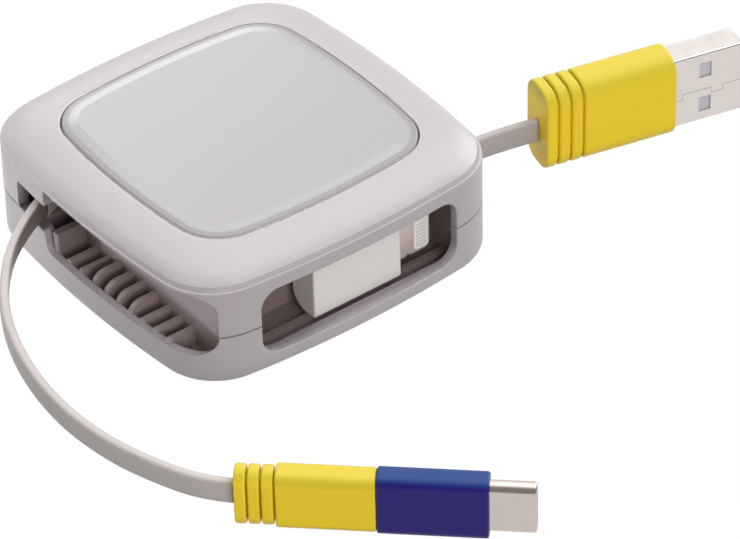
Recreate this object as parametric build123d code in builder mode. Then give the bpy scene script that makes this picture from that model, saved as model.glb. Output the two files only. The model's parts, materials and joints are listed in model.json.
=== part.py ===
"""Retractable charging cable.

A flat square case holds a spring reel with one flat cable wound on it from its middle. One end leaves the
case on the +X side and carries the large host plug, the other leaves on the -X side and carries the small
device plug, with an oval adapter pushed on it. A phone adapter lies in the bay of the -Y side, and the ribbed
pocket of the -X side is the empty place of the oval adapter. Origin at the centre of the case's underside,
+Z up, millimetres.
"""
import os
from math import asin, atan2, cos, degrees, radians, sin, sqrt, tan

from build123d import *

# Clearances
RUN_GAP = 0.06  # radial, between a turning bore and its pin
SLIDE_GAP = 0.08  # each side, between a connector and its socket
SEAT_GAP = 0.03  # each side, between pieces that are pushed together and stay
FREE_GAP = 0.3  # between the turning reel and what stands still

# Case
CASE_WIDTH = 57.0
CASE_CORNER = 9.5
SIDE_BULGE = 1.0
PARTING_Z = 8.3
CREASE_Z = 16.1
TOP_Z = 19.0
BASE_ROUND = 1.2
WALL = 1.8
FLOOR = 2.0
CEILING_Z = 15.6
# Rings of the dome: inset, loss of corner radius, share of the height from crease to top
DOME_RINGS = (
    (0.3, 0.08, 0.0), (0.55, 0.15, 0.24), (1.35, 0.38, 0.49),
    (2.6, 0.72, 0.69), (4.3, 1.2, 0.855), (6.3, 1.8, 1.0),
)
EDGE_ROUND = 0.35
CREASE_ROUND = 0.15
PARTING_CHAMFER = 0.15
WINDOW_ROUND = 0.3

# Clear insert of the top
INSERT_INSET = 7.4
INSERT_CORNER = 7.2
INSERT_BULGE = 0.8
INSERT_DEPTH = 1.4
INSERT_GROOVE = 0.3
INSERT_BEVEL = 2.4
INSERT_DROP = 0.3
INSERT_CROWN = 0.35
INSERT_RIM = 0.2

# Bay of the -Y side
BAY_LEFT_INSET = 2.1  # from the end of the case's rounded corner
BAY_RIGHT_INSET = 1.1
BAY_SILL_Z = 2.7
BAY_HEAD_Z = 13.8
BAY_CORNER = 3.0
BAY_FRONT_WALL = 2.4
BAY_DEPTH = 7.7
BAY_SIDE = 1.0
BAY_FLOOR_Z = 1.2
BAY_CEILING_Z = 14.6
BED_WIDTH = 1.4
BED_HEIGHT = 0.8
PARTITION = 1.4

# Pocket of the -X side, with its ribs, and the cable slot beside it
POCKET_INSET = 2.5
POCKET_START = 9.2
POCKET_SILL_Z = 4.9
POCKET_HEAD_Z = 15.7
POCKET_FLOOR_Z = 2.4
POCKET_LIP = 1.2
POCKET_DEPTH = 6.2
POCKET_CORNER = 3.2
POCKET_STEP = 1.4
SLOT_END = 16.8
SLOT_HEAD_Z = 13.0
SLOT_CORNER = 0.8
RIB_COUNT = 9
RIB_FIRST_Y = 4.95
RIB_PITCH = 2.93
RIB_WIDTH = 0.9
RIB_TOP_Z = 5.3
TALL_RIBS = (2, 3, 4, 5)
TALL_RIB_TOP_Z = 6.15
TALL_RIB_NOSE = 2.2
SPLIT_WALL_Y = 7.6
SPLIT_WALL = 1.2
GUIDE_WALL_Y = 12.1
GUIDE_WALL = 1.0

# Screws and their bosses
# Insets of the screws: from the case's sides, or from the bay's end and the walls of bay and pocket
SCREW_BACK_RIGHT = (7.0, 7.0)
SCREW_BACK_LEFT = (12.5, 5.5)
SCREW_FRONT_RIGHT = (4.1, 7.0)
SCREW_FRONT_LEFT = (5.3, 4.4)
BOSS_R = 2.6
SCREW_R = 0.85
SCREW_HEAD_R = 1.6
SCREW_HEAD_H = 1.1
SCREW_HEAD_Z = 0.5
SCREW_LENGTH = 11.0
HEAD_SEAT_GAP = 0.25
DRIVE_SLOT = 0.4
DRIVE_DEPTH = 0.5

# Flat cable
LEAD_THICK = 1.35
LEAD_WIDE = 4.0
LEAD_Z = 10.45
LEAD_MOUTH = 2.8
RUN_SHARE = 0.45  # part of a straight run that the bend at either end may take up

# Reel, winding, spring and axle
HUB_R = 8.5
FLANGE_RIM = 2.3
FLANGE = 1.2
LEAD_PASS = 1.25  # from the bay's wall to the cable beside the winding
WALL_PASS = 1.3  # from the flanges to the back wall
POCKET_PASS = 3.0  # from the flanges to the pocket's wall
WINDING_MARGIN = 0.1
HUB_CORE_IN = 4.6
HUB_CORE_OUT = 7.2
HUB_CORE_DEPTH = 3.6
BARREL_R = 16.4
BARREL_WALL = 1.2
SPRING_WIDE = 3.3
SPRING_THICK = 0.35
SPRING_HALF_TURNS = 12
SPRING_TAB = 1.2
COVER = 0.6
AXLE_R = 3.0
AXLE_FOOT = 4.6
AXLE_FOOT_DEPTH = 1.0
AXLE_SOCKET = 1.0
AXLE_BOSS_R = 4.6
AXLE_SLIT = 0.6
THRUST_R = 5.0

# Latch ball and its track on the reel
BALL_R = 1.2
BALL_TRAVEL = 1.3
TRACK_R = 13.6
TRACK_DEPTH = 0.6
TRACK_GAP = 0.15
NOTCH_COUNT = 10
LATCH_ANGLE = 54.0
LATCH_WALL = 1.2

# Host plug
HOST_TAIL = (40.1, -18.6)
HOST_Z = 11.4
HOST_ANGLE = -13.8
HOST_THICK = 7.2
HOST_HIGH = 14.0
HOST_CORNER = 2.8
HOST_FLANGE = 1.72
HOST_FLANGE_PITCH = 2.03
HOST_GROOVE = 0.7
HOST_BODY = 15.0
HOST_EDGE = 0.4
HOST_SHELL_THICK = 4.5
HOST_SHELL_HIGH = 12.0
HOST_SHELL_OUT = 11.5
HOST_SHELL_IN = 6.0
HOST_SHEET = 0.3
HOST_HOLE_LONG = 2.0
HOST_HOLE_HIGH = 2.6
HOST_HOLE_AT = 5.3
HOST_HOLE_SPACING = 6.1
HOST_SEAM = 0.07
HOST_SEAM_DEPTH = 0.12
HOST_SEAM_TURNS = (1.6, 6.3, 8.3)
HOST_SEAM_HEIGHTS = (1.4, 0.45, 1.4, 0.45)
HOST_TONGUE = 1.9
HOST_TONGUE_BACK = 1.0
HOST_BASE_OUT = 1.0
HOST_PAD = 0.15
HOST_PAD_WIDE = 1.1
HOST_PAD_LONG = 7.4
HOST_PAD_PITCH = 2.3
HOST_PAD_COUNT = 4
HOST_PAD_TIP = 1.2
HOST_LAST_RUN = 5.0
FLANGE_COUNT = 3

# Device plug
DEVICE_TAIL = (-38.7, -50.4)
DEVICE_ANGLE = -43.3
DEVICE_THICK = 4.1
DEVICE_HIGH = 9.3
DEVICE_CORNER = 1.2
DEVICE_FIN_CORNER = 1.9
DEVICE_FLANGE = 1.62
DEVICE_FLANGE_PITCH = 1.86
DEVICE_GROOVE = 1.0
DEVICE_BODY = 13.6
DEVICE_EDGE = 0.35
DEVICE_SHELL_THICK = 1.85
DEVICE_SHELL_HIGH = 6.85
DEVICE_SHELL_OUT = 5.4
DEVICE_SHELL_IN = 4.0
DEVICE_SHELL_BEVEL = 0.6
DEVICE_SHEET = 0.25
DEVICE_INSERT_BACK = 3.4
DEVICE_TONGUE = 0.45
DEVICE_TONGUE_TIP = 0.4
DEVICE_LAST_RUN = 4.5
DEVICE_PAD = 0.1
DEVICE_PAD_WIDE = 0.4
DEVICE_PAD_LONG = 3.0
DEVICE_PAD_PITCH = 0.65
DEVICE_PAD_COUNT = 5

# Oval adapter
OVAL_LONG = 15.2
OVAL_THICK = 4.2
OVAL_HIGH = 9.8
OVAL_CORNER = 1.3
OVAL_EDGE = 0.35
OVAL_NOSE_THICK = 2.56
OVAL_NOSE_HIGH = 8.34
OVAL_NOSE_OUT = 6.4
OVAL_NOSE_IN = 3.0
OVAL_NOSE_EDGE = 0.4
OVAL_SHEET = 0.25
OVAL_MOUTH_THICK = 0.8
OVAL_MOUTH_HIGH = 6.7
OVAL_MOUTH_DEPTH = 5.6
OVAL_MOUTH_CORNER = 0.35
OVAL_PAD = 0.1
OVAL_PAD_WIDE = 0.25
OVAL_PAD_LONG = 3.4
OVAL_PAD_PITCH = 0.5
OVAL_PAD_COUNT = 12
OVAL_PAD_TIP = 1.2

# Socket of both adapters, for the device plug
SLEEVE_SHEET = 0.25
SLEEVE_DEPTH = 6.4
SOCKET_BASE = 0.75
SOCKET_TONGUE = 0.5
SOCKET_TONGUE_HIGH = 4.4
SOCKET_TONGUE_X = 0.28
SOCKET_TONGUE_TIP = 1.0

# Phone adapter
PHONE_END_GAP = 1.4
PHONE_LONG = 15.65
PHONE_HIGH = 9.2
PHONE_THICK = 5.4
PHONE_FRONT_ROUND = 0.8
PHONE_BACK_ROUND = 3.2
PHONE_EDGE = 0.4
PHONE_FRONT_GAP = 1.1
PHONE_RIM = 0.55
PHONE_RECESS = 0.9
BLADE_HIGH = 6.7
BLADE_THICK = 1.5
BLADE_OUT = 6.75
BLADE_IN = 2.5
BLADE_TIP = 1.1
BLADE_EDGE = 0.3
NOTCH_R = 0.5
NOTCH_AT = 2.6
FRAME_LONG = 2.6
FRAME_HIGH = 5.6
FRAME_THICK = 0.2
FRAME_PROUD = 0.05
FRAME_CORNER = 0.6
FRAME_TIP_GAP = 0.4
PHONE_PAD_COUNT = 8
PHONE_PAD_PITCH = 0.62
PHONE_PAD_HIGH = 0.38
PHONE_PAD_LONG = 1.9
PHONE_PAD_PROUD = 0.05

HALF = CASE_WIDTH / 2
INSERT_WIDTH = CASE_WIDTH - 2 * INSERT_INSET
BAY_LEFT = CASE_CORNER + BAY_LEFT_INSET - HALF
BAY_RIGHT = HALF - CASE_CORNER - BAY_RIGHT_INSET
BAY_FRONT = BAY_FRONT_WALL - HALF
BAY_BACK = BAY_FRONT + BAY_DEPTH
POCKET_BACK = POCKET_DEPTH - HALF
POCKET_END = POCKET_INSET - HALF
WINDING_FRONT = BAY_BACK + PARTITION + LEAD_PASS + LEAD_THICK + FREE_GAP
WINDING_R = (HALF - WALL - WALL_PASS - FLANGE_RIM - WINDING_FRONT) / 2
FLANGE_R = WINDING_R + FLANGE_RIM
REEL_X = POCKET_BACK + PARTITION + POCKET_PASS + FLANGE_R
REEL_Y = WINDING_FRONT + WINDING_R
REEL = Plane(origin=(REEL_X, REEL_Y, 0))
REEL_AXIS = Axis((REEL_X, REEL_Y, 0), (0, 0, 1))
WINDING_HIGH = LEAD_WIDE + 2 * WINDING_MARGIN
LOWER_FLANGE_TOP = LEAD_Z - LEAD_WIDE / 2 - FREE_GAP
LOWER_FLANGE_Z = LOWER_FLANGE_TOP - FLANGE
UPPER_FLANGE_Z = LEAD_Z + LEAD_WIDE / 2 + FREE_GAP
UPPER_FLANGE_TOP = UPPER_FLANGE_Z + FLANGE
SPRING_Z = LOWER_FLANGE_Z - FREE_GAP - SPRING_WIDE
COVER_TOP = SPRING_Z - FREE_GAP
COVER_Z = COVER_TOP - COVER
BARREL_BORE = BARREL_R - BARREL_WALL
BALL_Z = UPPER_FLANGE_TOP - TRACK_DEPTH + SEAT_GAP + BALL_R
SCREW_POINTS = (
    (HALF - SCREW_BACK_RIGHT[0], HALF - SCREW_BACK_RIGHT[1]),
    (SCREW_BACK_LEFT[0] - HALF, HALF - SCREW_BACK_LEFT[1]),
    (BAY_RIGHT + SCREW_FRONT_RIGHT[0], SCREW_FRONT_RIGHT[1] - HALF),
    (POCKET_BACK + SCREW_FRONT_LEFT[0], BAY_BACK + SCREW_FRONT_LEFT[1]),
)
AXLE_TOP = CEILING_Z - FREE_GAP
RIB_FRONT = POCKET_LIP - HALF
SCREW_SHANK_Z = SCREW_HEAD_Z + SCREW_HEAD_H
SCREW_TIP_Z = SCREW_SHANK_Z + SCREW_LENGTH
CAGE_LONG = 2 * BALL_R + BALL_TRAVEL + 2 * TRACK_GAP
CAGE_WIDE = 2 * BALL_R + 2 * TRACK_GAP
LATCH = Plane(
    origin=(
        REEL_X + (TRACK_R - BALL_TRAVEL / 2) * cos(radians(LATCH_ANGLE)),
        REEL_Y + (TRACK_R - BALL_TRAVEL / 2) * sin(radians(LATCH_ANGLE)),
        0,
    ),
    x_dir=(cos(radians(LATCH_ANGLE)), sin(radians(LATCH_ANGLE)), 0),
    z_dir=(0, 0, 1),
)


def plug_plane(tail, height, angle):
    """Plane at a plug's tail: its normal points forward, its X runs across the plug and its Y points up."""
    forward = Vector(cos(radians(angle)), sin(radians(angle)), 0)
    return Plane(origin=(*tail, height), x_dir=Vector(0, 0, 1).cross(forward), z_dir=forward)


def ahead(plane, distance, across=0.0):
    """Copy of a plug plane, moved forward and across."""
    return Plane(origin=plane.from_local_coords((across, 0, distance)), x_dir=plane.x_dir, z_dir=plane.z_dir)


def bulged_square(width, corner, bulge, inset=0.0):
    """Face of a rounded square whose sides bow out, each side arc tangent to the corner arcs."""
    half = width / 2
    side_r = ((half - corner) ** 2 + bulge**2) / (2 * bulge)
    side_x = half - side_r
    corner_x = (side_x + sqrt(2 * (side_r - corner) ** 2 - side_x**2)) / 2
    swing = degrees(atan2(corner_x, corner_x - side_x))
    with BuildLine() as outline:
        for turn in (0, 90, 180, 270):
            side_centre = Vector(side_x, 0).rotate(Axis.Z, turn)
            corner_centre = Vector(corner_x, corner_x).rotate(Axis.Z, turn)
            CenterArc(side_centre, side_r - inset, turn - swing, 2 * swing)
            CenterArc(corner_centre, corner - inset, turn + swing, 90 - 2 * swing)
    return make_face(outline.edges(), mode=Mode.PRIVATE)


def bar(plane, thick, high, corner, length, mode=Mode.ADD):
    """Rounded rectangle on a plane, extruded along the plane's normal in the active part."""
    with BuildSketch(plane) as section:
        if corner:
            RectangleRounded(thick, high, corner)
        else:
            Rectangle(thick, high)
    extrude(section.sketch, amount=length, mode=mode)


def wedge_bar(plane, grow, length, mode=Mode.ADD):
    """Section of the small connector, bevelled on one wide side, grown all round and extruded."""
    with BuildSketch(plane) as section:
        Rectangle(DEVICE_SHELL_THICK + 2 * grow, DEVICE_SHELL_HIGH + 2 * grow)
        chamfer(section.vertices().group_by(Axis.X)[-1], DEVICE_SHELL_BEVEL)
    extrude(section.sketch, amount=length, mode=mode)


def oval_bar(plane, grow, length, mode=Mode.ADD):
    """Section of the oval connector, grown all round, extruded in the active part."""
    with BuildSketch(plane) as section:
        SlotOverall(OVAL_NOSE_HIGH + 2 * grow, OVAL_NOSE_THICK + 2 * grow, rotation=90)
    extrude(section.sketch, amount=length, mode=mode)


def pad_row(plane, thick, wide, pitch, count, length):
    """Column of flat contacts, one above the other, in the active part."""
    with BuildSketch(plane) as column:
        with GridLocations(0, pitch, 1, count):
            Rectangle(thick, wide)
    extrude(column.sketch, amount=length)


def socket_sleeve(plane):
    """Metal sleeve round the device plug's shell, its mouth on the plane, in the active part."""
    wedge_bar(plane, SLIDE_GAP + SLEEVE_SHEET, SLEEVE_DEPTH)
    wedge_bar(plane, SLIDE_GAP, SLEEVE_DEPTH, Mode.SUBTRACT)


def socket_tongue(plane):
    """Base and tongue inside a sleeve whose mouth is on the plane, in the active part."""
    wedge_bar(ahead(plane, SLEEVE_DEPTH - SOCKET_BASE), SLIDE_GAP - SEAT_GAP, SOCKET_BASE)
    bar(ahead(plane, SOCKET_TONGUE_TIP, SOCKET_TONGUE_X), SOCKET_TONGUE, SOCKET_TONGUE_HIGH, 0,
        SLEEVE_DEPTH - SOCKET_BASE - SOCKET_TONGUE_TIP)


def block(x_span, y_span, z_span, mode=Mode.ADD):
    """Box between two values on each axis, in the active part."""
    spans = (x_span, y_span, z_span)
    with Locations(Vector(*[(low + high) / 2 for low, high in spans])):
        Box(*[high - low for low, high in spans], mode=mode)


def post(point, radius, z_span, mode=Mode.ADD):
    """Upright cylinder between two heights, in the active part."""
    with BuildSketch(Plane.XY.offset(z_span[0])) as section:
        with Locations(point):
            Circle(radius)
    extrude(section.sketch, amount=z_span[1] - z_span[0], mode=mode)


def bay_window():
    """Rounded opening of the -Y wall, through both shells."""
    centre = Vector((BAY_LEFT + BAY_RIGHT) / 2, -HALF, (BAY_SILL_Z + BAY_HEAD_Z) / 2)
    outside = Plane(origin=centre + Vector(0, -SIDE_BULGE, 0), x_dir=(1, 0, 0), z_dir=(0, -1, 0))
    bar(outside, BAY_RIGHT - BAY_LEFT, BAY_HEAD_Z - BAY_SILL_Z, BAY_CORNER,
        -(BAY_FRONT_WALL + 2 * SIDE_BULGE), Mode.SUBTRACT)


def pocket_window():
    """Opening of the -X wall: the tall pocket, stepping up into the low slot of the cable."""
    outside = Plane(origin=(-HALF - SIDE_BULGE, 0, 0), x_dir=(0, 1, 0), z_dir=(1, 0, 0))
    with BuildSketch(outside) as opening:
        with Locations(((POCKET_END + POCKET_START) / 2, (POCKET_SILL_Z + POCKET_HEAD_Z) / 2)):
            Rectangle(POCKET_START - POCKET_END, POCKET_HEAD_Z - POCKET_SILL_Z)
        fillet(opening.vertices().sort_by(Axis.X)[:2], POCKET_CORNER)
        with Locations(((POCKET_START + SLOT_END) / 2, (PARTING_Z + SLOT_HEAD_Z) / 2)):
            Rectangle(SLOT_END - POCKET_START, SLOT_HEAD_Z - PARTING_Z)
        fillet(opening.vertices().sort_by(Axis.X)[-2:], SLOT_CORNER)
        step = [vertex for vertex in opening.vertices() if abs(vertex.X - POCKET_START) < SEAT_GAP]
        fillet(ShapeList(step).sort_by(Axis.Y)[:2], POCKET_STEP)
    extrude(opening.sketch, amount=POCKET_DEPTH + SIDE_BULGE, mode=Mode.SUBTRACT)


def inner_walls(z_span):
    """Walls of the bay and the pocket inside one shell, between two heights, within the case's outline."""
    with BuildSketch(Plane.XY.offset(z_span[0])) as plan:
        with Locations(((BAY_LEFT + BAY_RIGHT) / 2, (BAY_BACK + PARTITION - HALF) / 2)):
            Rectangle(BAY_RIGHT - BAY_LEFT + 2 * (BAY_SIDE + PARTITION), BAY_BACK + PARTITION + HALF)
        with Locations(((POCKET_BACK + PARTITION - HALF) / 2, (POCKET_END + SPLIT_WALL_Y + SPLIT_WALL) / 2)):
            Rectangle(POCKET_BACK + PARTITION + HALF, SPLIT_WALL_Y + SPLIT_WALL - POCKET_END)
        add(bulged_square(CASE_WIDTH, CASE_CORNER, SIDE_BULGE, WALL / 2), mode=Mode.INTERSECT)
    extrude(plan.sketch, amount=z_span[1] - z_span[0])


def bay_rim(part):
    """Edges of the bay's window on a shell's outer wall, clear of the parting line."""

    def on_rim(edge):
        middle = edge @ 0.5
        in_window = BAY_LEFT - SEAT_GAP < middle.X < BAY_RIGHT + SEAT_GAP and middle.Y < BAY_FRONT
        at_height = BAY_SILL_Z - SEAT_GAP < middle.Z < BAY_HEAD_Z + SEAT_GAP
        at_parting = abs(middle.Z - PARTING_Z) < 2 * PARTING_CHAMFER
        inset = OUTLINE.distance_to(Vector(middle.X, middle.Y, 0))
        return in_window and at_height and not at_parting and inset < SEAT_GAP

    return part.edges().filter_by(on_rim)


def tangent_start(corner, side):
    """Point where the cable leaves the winding on its straight way to a corner of its route."""
    reach = WINDING_R + FREE_GAP + LEAD_THICK / 2
    away = Vector(REEL_X, REEL_Y) - Vector(*corner[:2])
    heading = atan2(away.Y, away.X) + side * asin(reach / away.length)
    run = sqrt(away.length**2 - reach**2)
    return Vector(corner[0] + run * cos(heading), corner[1] + run * sin(heading), corner[2])


def route_radii(points):
    """Bend radius at each inner point of a route, as large as the shorter run beside it allows."""
    radii = []
    for before, here, after in zip(points, points[1:], points[2:]):
        run_in, run_out = Vector(*here) - Vector(*before), Vector(*after) - Vector(*here)
        half_turn = radians(run_in.get_angle(run_out)) / 2
        radii.append(RUN_SHARE * min(run_in.length, run_out.length) / tan(half_turn))
    return radii


def lead_along(points, name):
    """Flat cable on its edge, along straight runs joined by arcs, in the active part."""
    radii = route_radii(points)
    print(name, "bend radii", [round(radius, 1) for radius in radii])
    with BuildLine() as route:
        FilletPolyline(*points, radius=radii)
    heading = route.line % 0
    with BuildSketch(Plane(origin=points[0], x_dir=Vector(0, 0, 1).cross(heading), z_dir=heading)) as strip:
        Rectangle(LEAD_THICK, LEAD_WIDE)
    sweep(strip.sketch, path=route.wire())
    return route.wire().length * LEAD_THICK * LEAD_WIDE


os.makedirs("parts", exist_ok=True)

OUTLINE = bulged_square(CASE_WIDTH, CASE_CORNER, SIDE_BULGE).face().outer_wire()
HOST = plug_plane(HOST_TAIL, HOST_Z, HOST_ANGLE)
HOST_AXIS = Axis(HOST.origin, HOST.z_dir)
HOST_BODY_AT = FLANGE_COUNT * HOST_FLANGE_PITCH
HOST_FRONT_AT = HOST_BODY_AT + HOST_BODY
DEVICE_Z = OVAL_HIGH / 2
DEVICE = plug_plane(DEVICE_TAIL, DEVICE_Z, DEVICE_ANGLE)
DEVICE_AXIS = Axis(DEVICE.origin, DEVICE.z_dir)
DEVICE_BODY_AT = FLANGE_COUNT * DEVICE_FLANGE_PITCH
DEVICE_FRONT_AT = DEVICE_BODY_AT + DEVICE_BODY
OVAL_AT = DEVICE_FRONT_AT + SEAT_GAP
OVAL_FRONT_AT = OVAL_AT + OVAL_LONG
OVAL_TIP_AT = OVAL_FRONT_AT + OVAL_NOSE_OUT
PHONE_LEFT = BAY_RIGHT - PHONE_END_GAP - BLADE_OUT - PHONE_LONG
PHONE_FRONT = BAY_FRONT + PHONE_FRONT_GAP
PHONE = plug_plane((PHONE_LEFT, PHONE_FRONT + PHONE_THICK / 2), BAY_FLOOR_Z + BED_HEIGHT + PHONE_HIGH / 2, 0)
PHONE_AXIS = Axis(PHONE.origin, PHONE.z_dir)
PHONE_MOUTH = ahead(PHONE, PHONE_RECESS)

# Routes of the two free ends, from the first corner outside the case to the plugs
HOST_BEND = (1.1, 0.5)  # from the case's +X side and from the bay's wall
DEVICE_BEND = 2.8  # from the case's -X side
HOST_CORNERS = [
    (HALF + HOST_BEND[0], BAY_BACK + PARTITION + HOST_BEND[1], LEAD_Z),
    tuple(HOST.from_local_coords((0, LEAD_Z - HOST_Z, -HOST_LAST_RUN))), (*HOST_TAIL, LEAD_Z),
]
HOST_FIRST_RUN = 3.4
DEVICE_CORNERS = [
    (-HALF - DEVICE_BEND, 10.1, LEAD_Z), (-38.2, 5.0, 9.8), (-43.9, -3.2, 8.9), (-47.1, -12.8, 7.9),
    (-48.2, -23.2, 6.9), (-47.2, -32.6, 6.0), (-45.2, -40.0, 5.2),
    tuple(DEVICE.from_local_coords((0, 0, -DEVICE_LAST_RUN))), (*DEVICE_TAIL, DEVICE_Z),
]
DEVICE_FIRST_RUN = 5.6

host_tangent = tangent_start(HOST_CORNERS[0], 1)
host_heading = (Vector(*HOST_CORNERS[0]) - host_tangent).normalized()
host_mouth = Vector(*HOST_CORNERS[0]) - host_heading * HOST_FIRST_RUN
device_tangent = tangent_start(DEVICE_CORNERS[0], 1)
device_heading = (Vector(*DEVICE_CORNERS[0]) - device_tangent).normalized()
device_mouth = Vector(*DEVICE_CORNERS[0]) - device_heading * DEVICE_FIRST_RUN

with BuildPart() as lower_shell:
    with BuildSketch():
        add(bulged_square(CASE_WIDTH, CASE_CORNER, SIDE_BULGE))
    extrude(amount=PARTING_Z)
    fillet(lower_shell.faces().sort_by(Axis.Z)[0].edges(), BASE_ROUND)
    chamfer(lower_shell.faces().sort_by(Axis.Z)[-1].edges(), PARTING_CHAMFER)
    with BuildSketch(Plane.XY.offset(FLOOR)):
        add(bulged_square(CASE_WIDTH, CASE_CORNER, SIDE_BULGE, WALL))
    extrude(amount=PARTING_Z - FLOOR, mode=Mode.SUBTRACT)
    inner_walls((FLOOR, PARTING_Z))
    # Bay: hollow behind the thick front wall, with a strip that the phone adapter stands on
    block((BAY_LEFT - BAY_SIDE, BAY_RIGHT + BAY_SIDE), (BAY_FRONT, BAY_BACK), (BAY_FLOOR_Z, PARTING_Z),
          Mode.SUBTRACT)
    bed_front = PHONE_FRONT + PHONE_FRONT_ROUND
    block((BAY_LEFT - BAY_SIDE, BAY_RIGHT + BAY_SIDE), (bed_front, bed_front + BED_WIDTH),
          (BAY_FLOOR_Z, BAY_FLOOR_Z + BED_HEIGHT))
    bay_window()
    # Pocket: hollow behind its thin lip, with a row of ribs across it
    with BuildSketch(Plane.XY.offset(POCKET_FLOOR_Z)) as hollow:
        with Locations(((POCKET_BACK - HALF) / 2, (POCKET_END + SPLIT_WALL_Y) / 2)):
            Rectangle(POCKET_BACK + HALF, SPLIT_WALL_Y - POCKET_END)
        fillet(hollow.vertices().group_by(Axis.X)[-1].sort_by(Axis.Y)[0], POCKET_CORNER)
        add(bulged_square(CASE_WIDTH, CASE_CORNER, SIDE_BULGE, POCKET_LIP), mode=Mode.INTERSECT)
    extrude(amount=PARTING_Z - POCKET_FLOOR_Z, mode=Mode.SUBTRACT)
    pocket_window()
    fillet(bay_rim(lower_shell), WINDOW_ROUND)
    block((RIB_FRONT, POCKET_BACK), (SPLIT_WALL_Y, SPLIT_WALL_Y + SPLIT_WALL), (POCKET_FLOOR_Z, PARTING_Z))
    block((RIB_FRONT, POCKET_BACK + PARTITION), (GUIDE_WALL_Y, GUIDE_WALL_Y + GUIDE_WALL), (FLOOR, PARTING_Z))
    for index in range(RIB_COUNT):
        rib_y = RIB_FIRST_Y - index * RIB_PITCH
        rib_top = TALL_RIB_TOP_Z if index in TALL_RIBS else RIB_TOP_Z
        rib_side = Plane(origin=(0, rib_y + RIB_WIDTH / 2, 0), x_dir=(1, 0, 0), z_dir=(0, -1, 0))
        with BuildSketch(rib_side) as rib:
            with Locations(((POCKET_BACK + RIB_FRONT) / 2, (POCKET_FLOOR_Z + rib_top) / 2)):
                Rectangle(POCKET_BACK - RIB_FRONT, rib_top - POCKET_FLOOR_Z)
            if index in TALL_RIBS:
                fillet(rib.vertices().group_by(Axis.X)[0].sort_by(Axis.Y)[-1], TALL_RIB_NOSE)
        extrude(amount=RIB_WIDTH)
    # Screw bosses with sunk heads, and the seat of the axle with its thrust ring
    for point in SCREW_POINTS:
        post(point, BOSS_R, (FLOOR, PARTING_Z))
        post(point, SCREW_R + HEAD_SEAT_GAP, (0, PARTING_Z), Mode.SUBTRACT)
        post(point, SCREW_HEAD_R + HEAD_SEAT_GAP, (0, SCREW_SHANK_Z), Mode.SUBTRACT)
    post((REEL_X, REEL_Y), THRUST_R, (FLOOR, COVER_Z - RUN_GAP))
    post((REEL_X, REEL_Y), AXLE_R + SEAT_GAP, (FLOOR, COVER_Z), Mode.SUBTRACT)
    with BuildSketch(REEL.offset(FLOOR - AXLE_FOOT_DEPTH)):
        Rectangle(AXLE_FOOT + 2 * SEAT_GAP, AXLE_FOOT + 2 * SEAT_GAP)
    extrude(amount=AXLE_FOOT_DEPTH, mode=Mode.SUBTRACT)
lower_shell.part.label = "lower_shell"
export_step(lower_shell.part, "parts/lower_shell.step")

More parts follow.
